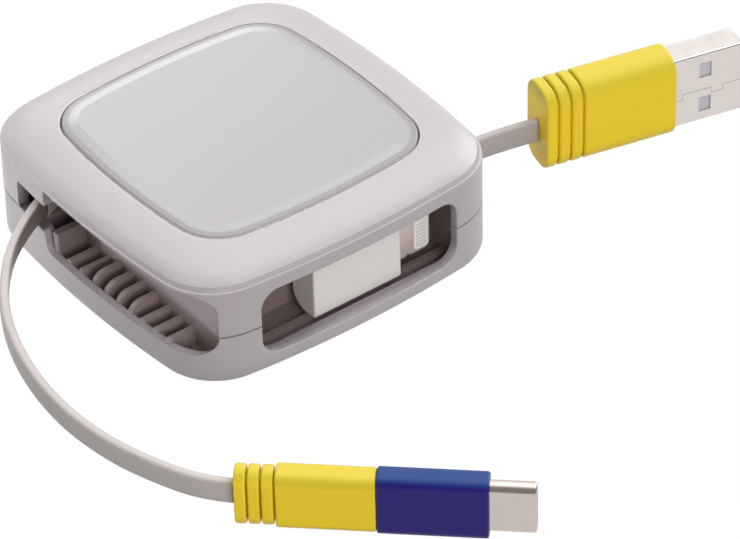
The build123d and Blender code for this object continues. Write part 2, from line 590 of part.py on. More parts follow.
with BuildPart() as upper_shell:
    with BuildSketch(Plane.XY.offset(PARTING_Z)):
        add(bulged_square(CASE_WIDTH, CASE_CORNER, SIDE_BULGE))
    extrude(amount=CREASE_Z - PARTING_Z)
    chamfer(upper_shell.faces().sort_by(Axis.Z)[0].edges(), PARTING_CHAMFER)
    fillet(upper_shell.faces().sort_by(Axis.Z)[-1].edges(), CREASE_ROUND)
    for inset, corner_loss, share in DOME_RINGS:
        with BuildSketch(Plane.XY.offset(CREASE_Z + share * (TOP_Z - CREASE_Z))):
            add(bulged_square(CASE_WIDTH - 2 * inset, CASE_CORNER - corner_loss, SIDE_BULGE))
    loft(ruled=True)
    with BuildSketch(Plane.XY.offset(TOP_Z - INSERT_DEPTH)):
        add(bulged_square(INSERT_WIDTH + 2 * INSERT_GROOVE, INSERT_CORNER + INSERT_GROOVE, INSERT_BULGE))
    extrude(amount=INSERT_DEPTH, mode=Mode.SUBTRACT)
    fillet(upper_shell.faces().sort_by(Axis.Z)[-1].inner_wires()[0].edges(), INSERT_RIM)
    with BuildSketch(Plane.XY.offset(PARTING_Z)):
        add(bulged_square(CASE_WIDTH, CASE_CORNER, SIDE_BULGE, WALL))
    extrude(amount=CEILING_Z - PARTING_Z, mode=Mode.SUBTRACT)
    inner_walls((PARTING_Z, CEILING_Z))
    block((BAY_LEFT - BAY_SIDE, BAY_RIGHT + BAY_SIDE), (BAY_FRONT, BAY_BACK), (PARTING_Z, BAY_CEILING_Z),
          Mode.SUBTRACT)
    bay_window()
    pocket_window()
    fillet(bay_rim(upper_shell), WINDOW_ROUND)
    # Way of the cable behind its slot, and its mouth on the other side
    block((-HALF + WALL / 2, POCKET_BACK + PARTITION), (POCKET_START, SLOT_END), (PARTING_Z, SLOT_HEAD_Z),
          Mode.SUBTRACT)
    mouth_y = host_mouth.Y
    block((HALF - 2 * WALL, HALF + SIDE_BULGE), (mouth_y - LEAD_MOUTH / 2, mouth_y + LEAD_MOUTH / 2),
          (PARTING_Z, LEAD_Z + LEAD_WIDE / 2 + 2 * FREE_GAP), Mode.SUBTRACT)
    for point in SCREW_POINTS:
        post(point, BOSS_R, (PARTING_Z, CEILING_Z))
        post(point, SCREW_R + SEAT_GAP, (PARTING_Z, SCREW_TIP_Z + FREE_GAP), Mode.SUBTRACT)
    # Socket of the axle's head, and the radial cage of the latch ball
    post((REEL_X, REEL_Y), AXLE_BOSS_R, (AXLE_TOP - AXLE_SOCKET, CEILING_Z))
    post((REEL_X, REEL_Y), AXLE_R + SEAT_GAP, (AXLE_TOP - AXLE_SOCKET, AXLE_TOP + SEAT_GAP), Mode.SUBTRACT)
    bar(LATCH.offset(UPPER_FLANGE_TOP + FREE_GAP), CAGE_LONG + 2 * LATCH_WALL, CAGE_WIDE + 2 * LATCH_WALL,
        EDGE_ROUND, CEILING_Z - UPPER_FLANGE_TOP - FREE_GAP)
    bar(LATCH.offset(UPPER_FLANGE_TOP), CAGE_LONG, CAGE_WIDE, CAGE_WIDE / 2 - SEAT_GAP,
        BALL_Z + BALL_R + SEAT_GAP - UPPER_FLANGE_TOP, Mode.SUBTRACT)
upper_shell.part.label = "upper_shell"
export_step(upper_shell.part, "parts/upper_shell.step")

with BuildPart() as top_insert:
    with BuildSketch(Plane.XY.offset(TOP_Z - INSERT_DEPTH)):
        add(bulged_square(INSERT_WIDTH, INSERT_CORNER, INSERT_BULGE))
    extrude(amount=INSERT_DEPTH + INSERT_CROWN)
    crown = top_insert.faces().sort_by(Axis.Z)[-1]
    chamfer(crown.edges(), INSERT_BEVEL, INSERT_DROP, reference=crown)
    rim_z = TOP_Z + INSERT_CROWN - INSERT_DROP
    fillet(top_insert.edges().filter_by_position(Axis.Z, rim_z - SEAT_GAP, rim_z + SEAT_GAP), INSERT_RIM)
top_insert.part.label = "top_insert"
export_step(top_insert.part, "parts/top_insert.step")

with BuildPart() as case_screws:
    for point in SCREW_POINTS:
        post(point, SCREW_HEAD_R, (SCREW_HEAD_Z, SCREW_SHANK_Z))
        post(point, SCREW_R, (SCREW_SHANK_Z, SCREW_TIP_Z))
        for across, along in ((DRIVE_SLOT, SCREW_HEAD_R), (SCREW_HEAD_R, DRIVE_SLOT)):
            block((point[0] - across / 2, point[0] + across / 2),
                  (point[1] - along / 2, point[1] + along / 2),
                  (SCREW_HEAD_Z, SCREW_HEAD_Z + DRIVE_DEPTH), Mode.SUBTRACT)
case_screws.part.label = "case_screws"
export_step(case_screws.part, "parts/case_screws.step")

with BuildPart() as axle:
    with BuildSketch(REEL.offset(FLOOR - AXLE_FOOT_DEPTH)):
        Rectangle(AXLE_FOOT, AXLE_FOOT)
    extrude(amount=AXLE_FOOT_DEPTH)
    post((REEL_X, REEL_Y), AXLE_R, (FLOOR, AXLE_TOP))
    chamfer(axle.faces().sort_by(Axis.Z)[-1].edges(), EDGE_ROUND)
    block((REEL_X, REEL_X + AXLE_R), (REEL_Y - AXLE_SLIT / 2, REEL_Y + AXLE_SLIT / 2),
          (SPRING_Z - FREE_GAP, SPRING_Z + SPRING_WIDE + FREE_GAP), Mode.SUBTRACT)
axle.part.label = "axle"
export_step(axle.part, "parts/axle.step")

with BuildPart() as reel:
    with BuildSketch(Plane(origin=(REEL_X, REEL_Y, 0), x_dir=(1, 0, 0), z_dir=(0, -1, 0))) as profile:
        for r_in, r_out, z_low, z_high in (
            (AXLE_R + RUN_GAP, FLANGE_R, LOWER_FLANGE_Z, LOWER_FLANGE_TOP),
            (AXLE_R + RUN_GAP, HUB_R, LOWER_FLANGE_TOP, UPPER_FLANGE_Z),
            (AXLE_R + RUN_GAP, FLANGE_R, UPPER_FLANGE_Z, UPPER_FLANGE_TOP),
            (BARREL_BORE, BARREL_R, COVER_TOP, LOWER_FLANGE_Z),
        ):
            with Locations(((r_in + r_out) / 2, (z_low + z_high) / 2)):
                Rectangle(r_out - r_in, z_high - z_low)
        with Locations(((HUB_CORE_IN + HUB_CORE_OUT) / 2, UPPER_FLANGE_TOP - HUB_CORE_DEPTH / 2)):
            Rectangle(HUB_CORE_OUT - HUB_CORE_IN, HUB_CORE_DEPTH, mode=Mode.SUBTRACT)
    revolve(axis=REEL_AXIS)
    # Track of the latch ball: a ring with a notch on its inner side for each stop
    with BuildSketch(REEL.offset(UPPER_FLANGE_TOP - TRACK_DEPTH)):
        Circle(TRACK_R + BALL_R + TRACK_GAP)
        Circle(TRACK_R - BALL_R - TRACK_GAP, mode=Mode.SUBTRACT)
        with PolarLocations(TRACK_R - BALL_TRAVEL, NOTCH_COUNT, start_angle=LATCH_ANGLE):
            Circle(BALL_R + TRACK_GAP)
    extrude(amount=TRACK_DEPTH, mode=Mode.SUBTRACT)
reel.part.label = "reel"
export_step(reel.part, "parts/reel.step")

with BuildPart() as spring_cover:
    with BuildSketch(REEL.offset(COVER_Z)):
        Circle(BARREL_R)
        Circle(AXLE_R + FREE_GAP, mode=Mode.SUBTRACT)
    extrude(amount=COVER)
spring_cover.part.label = "spring_cover"
export_step(spring_cover.part, "parts/spring_cover.step")

# Power spring: half turns of growing radius about two centres, hooked in the axle's slit
SPRING_IN = AXLE_R + FREE_GAP
SPRING_STEP = (BARREL_BORE - RUN_GAP - SPRING_THICK - SPRING_IN) / SPRING_HALF_TURNS
with BuildPart() as power_spring:
    with BuildSketch(REEL.offset(SPRING_Z)):
        for index in range(SPRING_HALF_TURNS):
            turn_r = SPRING_IN + SPRING_STEP / 2 + index * SPRING_STEP
            side = -1 if index % 2 == 0 else 1
            with BuildLine() as half_turn:
                CenterArc((side * SPRING_STEP / 2, 0), turn_r, 180 * index, 180)
                CenterArc((side * SPRING_STEP / 2, 0), turn_r + SPRING_THICK, 180 * index, 180)
                Line(half_turn.edges()[0] @ 0, half_turn.edges()[1] @ 0)
                Line(half_turn.edges()[0] @ 1, half_turn.edges()[1] @ 1)
            make_face()
        with Locations((SPRING_IN + SPRING_THICK - SPRING_TAB / 2, SPRING_THICK / 2 - AXLE_SLIT / 2)):
            Rectangle(SPRING_TAB, SPRING_THICK)
    extrude(amount=SPRING_WIDE)
power_spring.part.label = "power_spring"
export_step(power_spring.part, "parts/power_spring.step")

with BuildPart() as latch_ball:
    with Locations(LATCH.from_local_coords((BALL_TRAVEL / 2, 0, BALL_Z))):
        Sphere(BALL_R)
latch_ball.part.label = "latch_ball"
export_step(latch_ball.part, "parts/latch_ball.step")

with BuildPart() as cable_winding:
    with BuildSketch(REEL.offset(LEAD_Z - WINDING_HIGH / 2)):
        Circle(WINDING_R)
        Circle(HUB_R + SEAT_GAP, mode=Mode.SUBTRACT)
    extrude(amount=WINDING_HIGH)
cable_winding.part.label = "cable_winding"
export_step(cable_winding.part, "parts/cable_winding.step")

# Straight inner runs of the cable, from the winding to the two mouths of the case
for name, start, end, heading in (
    ("host_lead_inner", host_tangent, host_mouth, host_heading),
    ("device_lead_inner", device_tangent, device_mouth, device_heading),
):
    with BuildPart() as inner_run:
        cut = Plane(origin=start, x_dir=Vector(0, 0, 1).cross(heading), z_dir=heading)
        bar(cut, LEAD_THICK, LEAD_WIDE, 0, (end - start).length)
    inner_run.part.label = name
    export_step(inner_run.part, f"parts/{name}.step")

with BuildPart() as host_lead:
    section_volume = lead_along([tuple(host_mouth), *HOST_CORNERS], "host_lead")
print("host_lead volume", host_lead.part.volume, "section times length", section_volume)
host_lead.part.label = "host_lead"
export_step(host_lead.part, "parts/host_lead.step")

with BuildPart() as device_lead:
    section_volume = lead_along([tuple(device_mouth), *DEVICE_CORNERS], "device_lead")
print("device_lead volume", device_lead.part.volume, "section times length", section_volume)
device_lead.part.label = "device_lead"
export_step(device_lead.part, "parts/device_lead.step")

with BuildPart() as host_plug_grip:
    for index in range(FLANGE_COUNT):
        bar(ahead(HOST, index * HOST_FLANGE_PITCH), HOST_THICK, HOST_HIGH, HOST_CORNER, HOST_FLANGE)
    bar(ahead(HOST, HOST_BODY_AT), HOST_THICK, HOST_HIGH, HOST_CORNER, HOST_BODY)
    fillet(host_plug_grip.faces().filter_by(HOST_AXIS).edges(), HOST_EDGE)
    bar(ahead(HOST, HOST_EDGE), HOST_THICK - 2 * HOST_GROOVE, HOST_HIGH - 2 * HOST_GROOVE,
        HOST_CORNER - HOST_GROOVE, HOST_BODY_AT)
    bar(ahead(HOST, HOST_FRONT_AT), HOST_SHELL_THICK + 2 * SEAT_GAP, HOST_SHELL_HIGH + 2 * SEAT_GAP,
        HOST_SHEET + SEAT_GAP, -HOST_SHELL_IN, Mode.SUBTRACT)
host_plug_grip.part.label = "host_plug_grip"
export_step(host_plug_grip.part, "parts/host_plug_grip.step")

HOST_BACK_AT = HOST_FRONT_AT - HOST_SHELL_IN + SEAT_GAP
HOST_TIP_AT = HOST_FRONT_AT + HOST_SHELL_OUT
HOST_BORE_THICK = HOST_SHELL_THICK - 2 * HOST_SHEET
HOST_BORE_HIGH = HOST_SHELL_HIGH - 2 * HOST_SHEET
with BuildPart() as host_plug_shell:
    bar(ahead(HOST, HOST_BACK_AT), HOST_SHELL_THICK, HOST_SHELL_HIGH, HOST_SHEET, HOST_TIP_AT - HOST_BACK_AT)
    bar(ahead(HOST, HOST_BACK_AT), HOST_BORE_THICK, HOST_BORE_HIGH, 0, HOST_TIP_AT - HOST_BACK_AT,
        Mode.SUBTRACT)
    hole_centre = HOST.from_local_coords((0, 0, HOST_FRONT_AT + HOST_HOLE_AT))
    with BuildSketch(Plane(hole_centre, HOST.z_dir, HOST.x_dir)):
        with GridLocations(0, HOST_HOLE_SPACING, 1, 2):
            Rectangle(HOST_HOLE_LONG, HOST_HOLE_HIGH)
    extrude(amount=HOST_SHELL_THICK, both=True, mode=Mode.SUBTRACT)
    # Stepped joint of the folded sheet on the -Y face
    seam_origin = HOST.from_local_coords((-HOST_SHELL_THICK / 2, 0, HOST_FRONT_AT))
    with BuildSketch(Plane(seam_origin, HOST.z_dir, -HOST.x_dir)) as seam:
        ends = (-HOST_SHELL_IN, *HOST_SEAM_TURNS, HOST_SHELL_OUT)
        for start, end, height in zip(ends, ends[1:], HOST_SEAM_HEIGHTS):
            with Locations(((start + end) / 2, -height)):
                Rectangle(end - start + HOST_SEAM, HOST_SEAM)
        for turn, before, after in zip(HOST_SEAM_TURNS, HOST_SEAM_HEIGHTS, HOST_SEAM_HEIGHTS[1:]):
            with Locations((turn, -(before + after) / 2)):
                Rectangle(HOST_SEAM, abs(after - before))
    extrude(seam.sketch, amount=-HOST_SEAM_DEPTH, mode=Mode.SUBTRACT)
host_plug_shell.part.label = "host_plug_shell"
export_step(host_plug_shell.part, "parts/host_plug_shell.step")

# Tongue of the host plug: a base that fills the shell in the grip, then half of its bore on the -Y side
HOST_TONGUE_X = SEAT_GAP + (HOST_TONGUE - HOST_BORE_THICK) / 2
HOST_TONGUE_HIGH = HOST_BORE_HIGH - 2 * SEAT_GAP
HOST_TONGUE_TIP_AT = HOST_TIP_AT - HOST_TONGUE_BACK
with BuildPart() as host_plug_tongue:
    bar(ahead(HOST, HOST_BACK_AT), HOST_BORE_THICK - 2 * SEAT_GAP, HOST_TONGUE_HIGH, 0,
        HOST_SHELL_IN + HOST_BASE_OUT)
    bar(ahead(HOST, HOST_FRONT_AT, HOST_TONGUE_X), HOST_TONGUE, HOST_TONGUE_HIGH, 0,
        HOST_TONGUE_TIP_AT - HOST_FRONT_AT)
host_plug_tongue.part.label = "host_plug_tongue"
export_step(host_plug_tongue.part, "parts/host_plug_tongue.step")

with BuildPart() as host_plug_contacts:
    pad_row(ahead(HOST, HOST_TONGUE_TIP_AT - HOST_PAD_TIP, HOST_TONGUE_X + (HOST_TONGUE + HOST_PAD) / 2),
            HOST_PAD, HOST_PAD_WIDE, HOST_PAD_PITCH, HOST_PAD_COUNT, -HOST_PAD_LONG)
host_plug_contacts.part.label = "host_plug_contacts"
export_step(host_plug_contacts.part, "parts/host_plug_contacts.step")

with BuildPart() as device_plug_grip:
    for index in range(FLANGE_COUNT):
        bar(ahead(DEVICE, index * DEVICE_FLANGE_PITCH), DEVICE_THICK, DEVICE_HIGH, DEVICE_FIN_CORNER,
            DEVICE_FLANGE)
    bar(ahead(DEVICE, DEVICE_BODY_AT), DEVICE_THICK, DEVICE_HIGH, DEVICE_CORNER, DEVICE_BODY)
    fillet(device_plug_grip.faces().filter_by(DEVICE_AXIS).edges(), DEVICE_EDGE)
    bar(ahead(DEVICE, DEVICE_EDGE), DEVICE_THICK - 2 * DEVICE_GROOVE, DEVICE_HIGH - 2 * DEVICE_GROOVE,
        DEVICE_CORNER / 2, DEVICE_BODY_AT)
    wedge_bar(ahead(DEVICE, DEVICE_FRONT_AT), SEAT_GAP, -DEVICE_SHELL_IN, Mode.SUBTRACT)
device_plug_grip.part.label = "device_plug_grip"
export_step(device_plug_grip.part, "parts/device_plug_grip.step")

DEVICE_BACK_AT = DEVICE_FRONT_AT - DEVICE_SHELL_IN + SEAT_GAP
DEVICE_TIP_AT = DEVICE_FRONT_AT + DEVICE_SHELL_OUT
with BuildPart() as device_plug_shell:
    wedge_bar(ahead(DEVICE, DEVICE_BACK_AT), 0, DEVICE_TIP_AT - DEVICE_BACK_AT)
    wedge_bar(ahead(DEVICE, DEVICE_BACK_AT), -DEVICE_SHEET, DEVICE_TIP_AT - DEVICE_BACK_AT, Mode.SUBTRACT)
device_plug_shell.part.label = "device_plug_shell"
export_step(device_plug_shell.part, "parts/device_plug_shell.step")

DEVICE_TONGUE_X = DEVICE_SHEET + SEAT_GAP + (DEVICE_TONGUE - DEVICE_SHELL_THICK) / 2
DEVICE_TONGUE_HIGH = DEVICE_SHELL_HIGH - 2 * DEVICE_SHEET - 2 * SEAT_GAP
with BuildPart() as device_plug_insert:
    wedge_bar(ahead(DEVICE, DEVICE_BACK_AT), -DEVICE_SHEET - SEAT_GAP, DEVICE_INSERT_BACK)
    bar(ahead(DEVICE, DEVICE_BACK_AT, DEVICE_TONGUE_X), DEVICE_TONGUE, DEVICE_TONGUE_HIGH, 0,
        DEVICE_TIP_AT - DEVICE_TONGUE_TIP - DEVICE_BACK_AT)
device_plug_insert.part.label = "device_plug_insert"
export_step(device_plug_insert.part, "parts/device_plug_insert.step")

with BuildPart() as device_plug_contacts:
    pad_x = DEVICE_TONGUE_X + (DEVICE_TONGUE + DEVICE_PAD) / 2
    pad_row(ahead(DEVICE, DEVICE_TIP_AT - 2 * DEVICE_TONGUE_TIP, pad_x), DEVICE_PAD, DEVICE_PAD_WIDE,
            DEVICE_PAD_PITCH, DEVICE_PAD_COUNT, -DEVICE_PAD_LONG)
device_plug_contacts.part.label = "device_plug_contacts"
export_step(device_plug_contacts.part, "parts/device_plug_contacts.step")

with BuildPart() as oval_adapter_body:
    bar(ahead(DEVICE, OVAL_AT), OVAL_THICK, OVAL_HIGH, OVAL_CORNER, OVAL_LONG)
    fillet(oval_adapter_body.faces().filter_by(DEVICE_AXIS).edges(), OVAL_EDGE)
    wedge_bar(ahead(DEVICE, OVAL_AT), SLIDE_GAP + SLEEVE_SHEET + SEAT_GAP, SLEEVE_DEPTH, Mode.SUBTRACT)
    oval_bar(ahead(DEVICE, OVAL_FRONT_AT), SEAT_GAP, -OVAL_NOSE_IN, Mode.SUBTRACT)
oval_adapter_body.part.label = "oval_adapter_body"
export_step(oval_adapter_body.part, "parts/oval_adapter_body.step")

OVAL_BACK_AT = OVAL_FRONT_AT - OVAL_NOSE_IN + SEAT_GAP
with BuildPart() as oval_adapter_nose:
    oval_bar(ahead(DEVICE, OVAL_BACK_AT), 0, OVAL_TIP_AT - OVAL_BACK_AT)
    fillet(oval_adapter_nose.faces().sort_by(DEVICE_AXIS)[-1].edges(), OVAL_NOSE_EDGE)
    oval_bar(ahead(DEVICE, OVAL_TIP_AT - OVAL_SHEET), -OVAL_SHEET, OVAL_BACK_AT - OVAL_TIP_AT, Mode.SUBTRACT)
    bar(ahead(DEVICE, OVAL_TIP_AT), OVAL_MOUTH_THICK, OVAL_MOUTH_HIGH, OVAL_MOUTH_CORNER, -2 * OVAL_SHEET,
        Mode.SUBTRACT)
oval_adapter_nose.part.label = "oval_adapter_nose"
export_step(oval_adapter_nose.part, "parts/oval_adapter_nose.step")

with BuildPart() as oval_adapter_insert:
    oval_bar(ahead(DEVICE, OVAL_BACK_AT), -OVAL_SHEET - SEAT_GAP,
             OVAL_TIP_AT - OVAL_SHEET - SEAT_GAP - OVAL_BACK_AT)
    bar(ahead(DEVICE, OVAL_TIP_AT), OVAL_MOUTH_THICK, OVAL_MOUTH_HIGH, OVAL_MOUTH_CORNER, -OVAL_MOUTH_DEPTH,
        Mode.SUBTRACT)
oval_adapter_insert.part.label = "oval_adapter_insert"
export_step(oval_adapter_insert.part, "parts/oval_adapter_insert.step")

with BuildPart() as oval_adapter_contacts:
    for side in (-1, 1):
        pad_row(ahead(DEVICE, OVAL_TIP_AT - OVAL_PAD_TIP, side * (OVAL_MOUTH_THICK - OVAL_PAD) / 2),
                OVAL_PAD, OVAL_PAD_WIDE, OVAL_PAD_PITCH, OVAL_PAD_COUNT, -OVAL_PAD_LONG)
oval_adapter_contacts.part.label = "oval_adapter_contacts"
export_step(oval_adapter_contacts.part, "parts/oval_adapter_contacts.step")

with BuildPart() as oval_adapter_socket:
    socket_sleeve(ahead(DEVICE, OVAL_AT))
oval_adapter_socket.part.label = "oval_adapter_socket"
export_step(oval_adapter_socket.part, "parts/oval_adapter_socket.step")

with BuildPart() as oval_adapter_socket_tongue:
    socket_tongue(ahead(DEVICE, OVAL_AT))
oval_adapter_socket_tongue.part.label = "oval_adapter_socket_tongue"
export_step(oval_adapter_socket_tongue.part, "parts/oval_adapter_socket_tongue.step")

with BuildPart() as phone_adapter_body:
    with BuildSketch(PHONE) as section:
        Rectangle(PHONE_THICK, PHONE_HIGH)
        fillet(section.vertices().group_by(Axis.X)[0], PHONE_FRONT_ROUND)
        fillet(section.vertices().group_by(Axis.X)[-1], PHONE_BACK_ROUND)
    extrude(amount=PHONE_LONG)
    fillet(phone_adapter_body.faces().filter_by(PHONE_AXIS).edges(), PHONE_EDGE)
    with BuildSketch(PHONE) as hollow_end:
        offset(section.sketch, -PHONE_RIM)
    extrude(hollow_end.sketch, amount=PHONE_RECESS, mode=Mode.SUBTRACT)
    wedge_bar(PHONE_MOUTH, SLIDE_GAP + SLEEVE_SHEET + SEAT_GAP, SLEEVE_DEPTH, Mode.SUBTRACT)
    bar(ahead(PHONE, PHONE_LONG), BLADE_THICK + 2 * SEAT_GAP, BLADE_HIGH + 2 * SEAT_GAP, BLADE_EDGE,
        -BLADE_IN, Mode.SUBTRACT)
phone_adapter_body.part.label = "phone_adapter_body"
export_step(phone_adapter_body.part, "parts/phone_adapter_body.step")

# Blade of the phone adapter, with a latch notch on each edge and a sunk contact field on each face
BLADE_BACK_AT = PHONE_LONG - BLADE_IN + SEAT_GAP
BLADE_TIP_AT = PHONE_LONG + BLADE_OUT
FRAME_AT = BLADE_TIP_AT - FRAME_TIP_GAP - FRAME_LONG / 2
BLADE_FACES = [
    Plane(PHONE.from_local_coords((side * BLADE_THICK / 2, 0, FRAME_AT)), PHONE.z_dir, side * PHONE.x_dir)
    for side in (-1, 1)
]
with BuildPart() as phone_adapter_blade:
    blade_centre = PHONE.from_local_coords((0, 0, (BLADE_BACK_AT + BLADE_TIP_AT) / 2))
    with BuildSketch(Plane(blade_centre, PHONE.z_dir, PHONE.x_dir)) as outline:
        Rectangle(BLADE_TIP_AT - BLADE_BACK_AT, BLADE_HIGH)
        fillet(outline.vertices().group_by(Axis.X)[-1], BLADE_TIP)
    extrude(amount=BLADE_THICK / 2, both=True)
    fillet(phone_adapter_blade.faces().filter_by(Axis(PHONE.origin, PHONE.x_dir)).edges(), BLADE_EDGE)
    for edge_z in (-BLADE_HIGH / 2, BLADE_HIGH / 2):
        notch_centre = PHONE.from_local_coords((0, edge_z, PHONE_LONG + NOTCH_AT))
        with BuildSketch(Plane(notch_centre, PHONE.z_dir, PHONE.x_dir)):
            Circle(NOTCH_R)
        extrude(amount=BLADE_THICK, both=True, mode=Mode.SUBTRACT)
    for face in BLADE_FACES:
        bar(face, FRAME_LONG, FRAME_HIGH, FRAME_CORNER, -FRAME_THICK, Mode.SUBTRACT)
phone_adapter_blade.part.label = "phone_adapter_blade"
export_step(phone_adapter_blade.part, "parts/phone_adapter_blade.step")

with BuildPart() as phone_adapter_contact_frame:
    for face in BLADE_FACES:
        bar(face.offset(-FRAME_THICK), FRAME_LONG - 2 * SEAT_GAP, FRAME_HIGH - 2 * SEAT_GAP,
            FRAME_CORNER - SEAT_GAP, FRAME_THICK + FRAME_PROUD)
        with BuildSketch(face.offset(-FRAME_THICK)):
            with GridLocations(0, PHONE_PAD_PITCH, 1, PHONE_PAD_COUNT):
                Rectangle(PHONE_PAD_LONG, PHONE_PAD_HIGH)
        extrude(amount=FRAME_THICK + FRAME_PROUD, mode=Mode.SUBTRACT)
phone_adapter_contact_frame.part.label = "phone_adapter_contact_frame"
export_step(phone_adapter_contact_frame.part, "parts/phone_adapter_contact_frame.step")

with BuildPart() as phone_adapter_contacts:
    for face in BLADE_FACES:
        with BuildSketch(face.offset(-FRAME_THICK)):
            with GridLocations(0, PHONE_PAD_PITCH, 1, PHONE_PAD_COUNT):
                Rectangle(PHONE_PAD_LONG - 2 * SEAT_GAP, PHONE_PAD_HIGH - 2 * SEAT_GAP)
        extrude(amount=FRAME_THICK + FRAME_PROUD + PHONE_PAD_PROUD)
phone_adapter_contacts.part.label = "phone_adapter_contacts"
export_step(phone_adapter_contacts.part, "parts/phone_adapter_contacts.step")

with BuildPart() as phone_adapter_socket:
    socket_sleeve(PHONE_MOUTH)
phone_adapter_socket.part.label = "phone_adapter_socket"
export_step(phone_adapter_socket.part, "parts/phone_adapter_socket.step")

with BuildPart() as phone_adapter_socket_tongue:
    socket_tongue(PHONE_MOUTH)
phone_adapter_socket_tongue.part.label = "phone_adapter_socket_tongue"
export_step(phone_adapter_socket_tongue.part, "parts/phone_adapter_socket_tongue.step")
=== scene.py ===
"""Retractable charging cable: finishes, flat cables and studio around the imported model, in metres."""
import json
from math import cos, pi, radians, sin

import bmesh
import bpy
from bpy.props import FloatProperty, FloatVectorProperty, PointerProperty
from mathutils import Matrix, Quaternion, Vector


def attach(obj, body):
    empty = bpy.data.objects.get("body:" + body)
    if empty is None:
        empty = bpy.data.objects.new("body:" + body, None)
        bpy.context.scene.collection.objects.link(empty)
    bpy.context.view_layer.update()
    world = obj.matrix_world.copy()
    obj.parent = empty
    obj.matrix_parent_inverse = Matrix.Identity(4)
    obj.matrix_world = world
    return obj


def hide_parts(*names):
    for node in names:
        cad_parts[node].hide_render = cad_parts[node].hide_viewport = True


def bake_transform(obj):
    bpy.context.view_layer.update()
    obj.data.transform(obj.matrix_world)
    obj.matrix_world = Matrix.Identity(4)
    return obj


bl_info = {
    "name": "Retractable Charging Cable",
    "version": (1, 0, 0),
    "blender": (4, 5, 0),
    "location": "3D View > Sidebar > Cable",
    "description": "Dresses a retractable charging cable and sets up its studio",
    "category": "Object",
}

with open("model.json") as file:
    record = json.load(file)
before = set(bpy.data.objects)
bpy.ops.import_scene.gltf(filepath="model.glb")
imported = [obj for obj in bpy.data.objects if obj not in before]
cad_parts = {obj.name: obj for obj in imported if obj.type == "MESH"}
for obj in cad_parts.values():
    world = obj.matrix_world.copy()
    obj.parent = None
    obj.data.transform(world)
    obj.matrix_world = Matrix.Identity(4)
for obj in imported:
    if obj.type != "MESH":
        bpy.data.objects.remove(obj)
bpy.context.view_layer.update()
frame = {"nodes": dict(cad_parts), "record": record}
RECORD = frame["record"]
BODY_OF = {node: body for body, nodes in RECORD["behaviour"]["bodies"].items() for node in nodes}

WELD = 0.000002
CREASE = radians(28)  # facets that meet at a smaller angle shade as one surface

# Where the finish of the case and the light and shade painted on it change: a pair is where a change starts
# and where it is complete
CASE_OUTLINE = (0.0285, 0.0095, 0.0010)  # half width, corner radius and bow of the sides
RECESS_OUTLINE = (0.0214, 0.0075, 0.0008)  # the same three of the panel's recess
HOLLOW_DEPTH = (0.0006, 0.0016)  # from the paint outside to the painted shade of the hollows
HOLLOW_BASE = 0.0011
HOLLOW_TOP = 0.0158
BAY_LEFT_X = -0.0150
BAY_BACK_Y = -0.0170
BAY_RIM_DEPTH = (0.0018, 0.0024)  # from the painted shade on the rim of the window to the darker painted shade of the bay behind it
POCKET_WALL_Z = (0.0062, 0.0080)  # from the painted shade on the ribs to the painted light on the wall above them
SLOT_Y = (0.0060, 0.0070)  # from the ribbed pocket to the cable's slot, where the painted shade is darker
SLOT_TOP = 0.0125
SEAM_Z = 0.0083
SEAM_REACH = (0.0001, 0.0002)
GROOVE_BASE = 0.0170
LIP_DEPTH = (-0.000216, -0.000144)  # from the dome to the painted highlight on the lip round the recess
# depth inside the recess past which its wall has painted shade
RECESS_WALL_DEPTH = 0.00003
# height below which the panel's sides are made pale as painted light in the groove
PANEL_WALL_Z = 0.0189
PANEL_STRIP_Z = (0.01915, 0.01919)  # from the strip round the panel, with its painted shade, to its face

# Tones as shares of the colour around them, and how far mottling strays from that colour: the seam's tone is
# a dark joint, the lip's is a painted highlight, the others are painted shade
SEAM_TONE = 0.45
# painted highlight on the lip round the recess
LIP_HIGHLIGHT = 1.35
# painted shade on the recess's wall
RECESS_SHADE = 0.62
# painted shade in the cable's slot beyond the pocket
SLOT_SHADE = 0.80
# painted shade on the strip round the panel
PANEL_STRIP_SHADE = 0.80
# painted shade on the host lead
HOST_LEAD_SHADE = 0.85
SHELL_MOTTLE = 0.02
PLASTIC_MOTTLE = 0.035

# Grain, drawn lines and gloss of the finishes
PLASTIC_GRAIN = 4e-6
GRIP_GRAIN = 5e-6
JACKET_GRAIN = 3e-6
DRAWN_GRAIN = 1.5e-6
DRAWN_STRETCH = 40.0
JACKET_STRETCH = (26.0, 260.0, 1.0)  # along the cable and round it
GLOSS_SPREAD = 0.12
PLATE_SPREAD = 0.10
PAINT_ROUGHNESS = 0.30
HOLLOW_DULLNESS = 0.15
PANEL_ROUGHNESS = 0.27
PANEL_SPREAD = 0.06
PANEL_STRIP_COAT_LOSS = 0.8  # share of the coat that the strip lacks
JACKET_ROUGHNESS = 0.40
JACKET_SPREAD = 0.15

# Heights over which a grip's colour gives way to the painted shade on its upper edge, and the oval adapter's
# blue to a painted reflection on its upper edge, and turns of the plugs about the upright
HOST_CROWN = (0.0150, 0.0178)
DEVICE_CROWN = (0.0078, 0.0092)
OVAL_CROWN = (0.0091, 0.0098)
HOST_TURN = radians(13.8)
DEVICE_TURN = radians(43.3)

# Lights of the surroundings: a direction, and the cosines to it at which the light starts and is full
GLOW = ((0.47, 0.63, 0.62), (0.1, 0.95))  # bright wall of the studio
STRIP = ((0.40, 0.80, 0.447), (0.970, 0.994))  # narrow softbox
OVERHEAD = ((0.50, -0.05, 0.865), (0.78, 0.95))  # wide softbox above
CEILING_Z = (0.655, 0.70)  # from the bright wall to its upper part
WHITE = (1.0, 1.0, 1.0, 1.0)

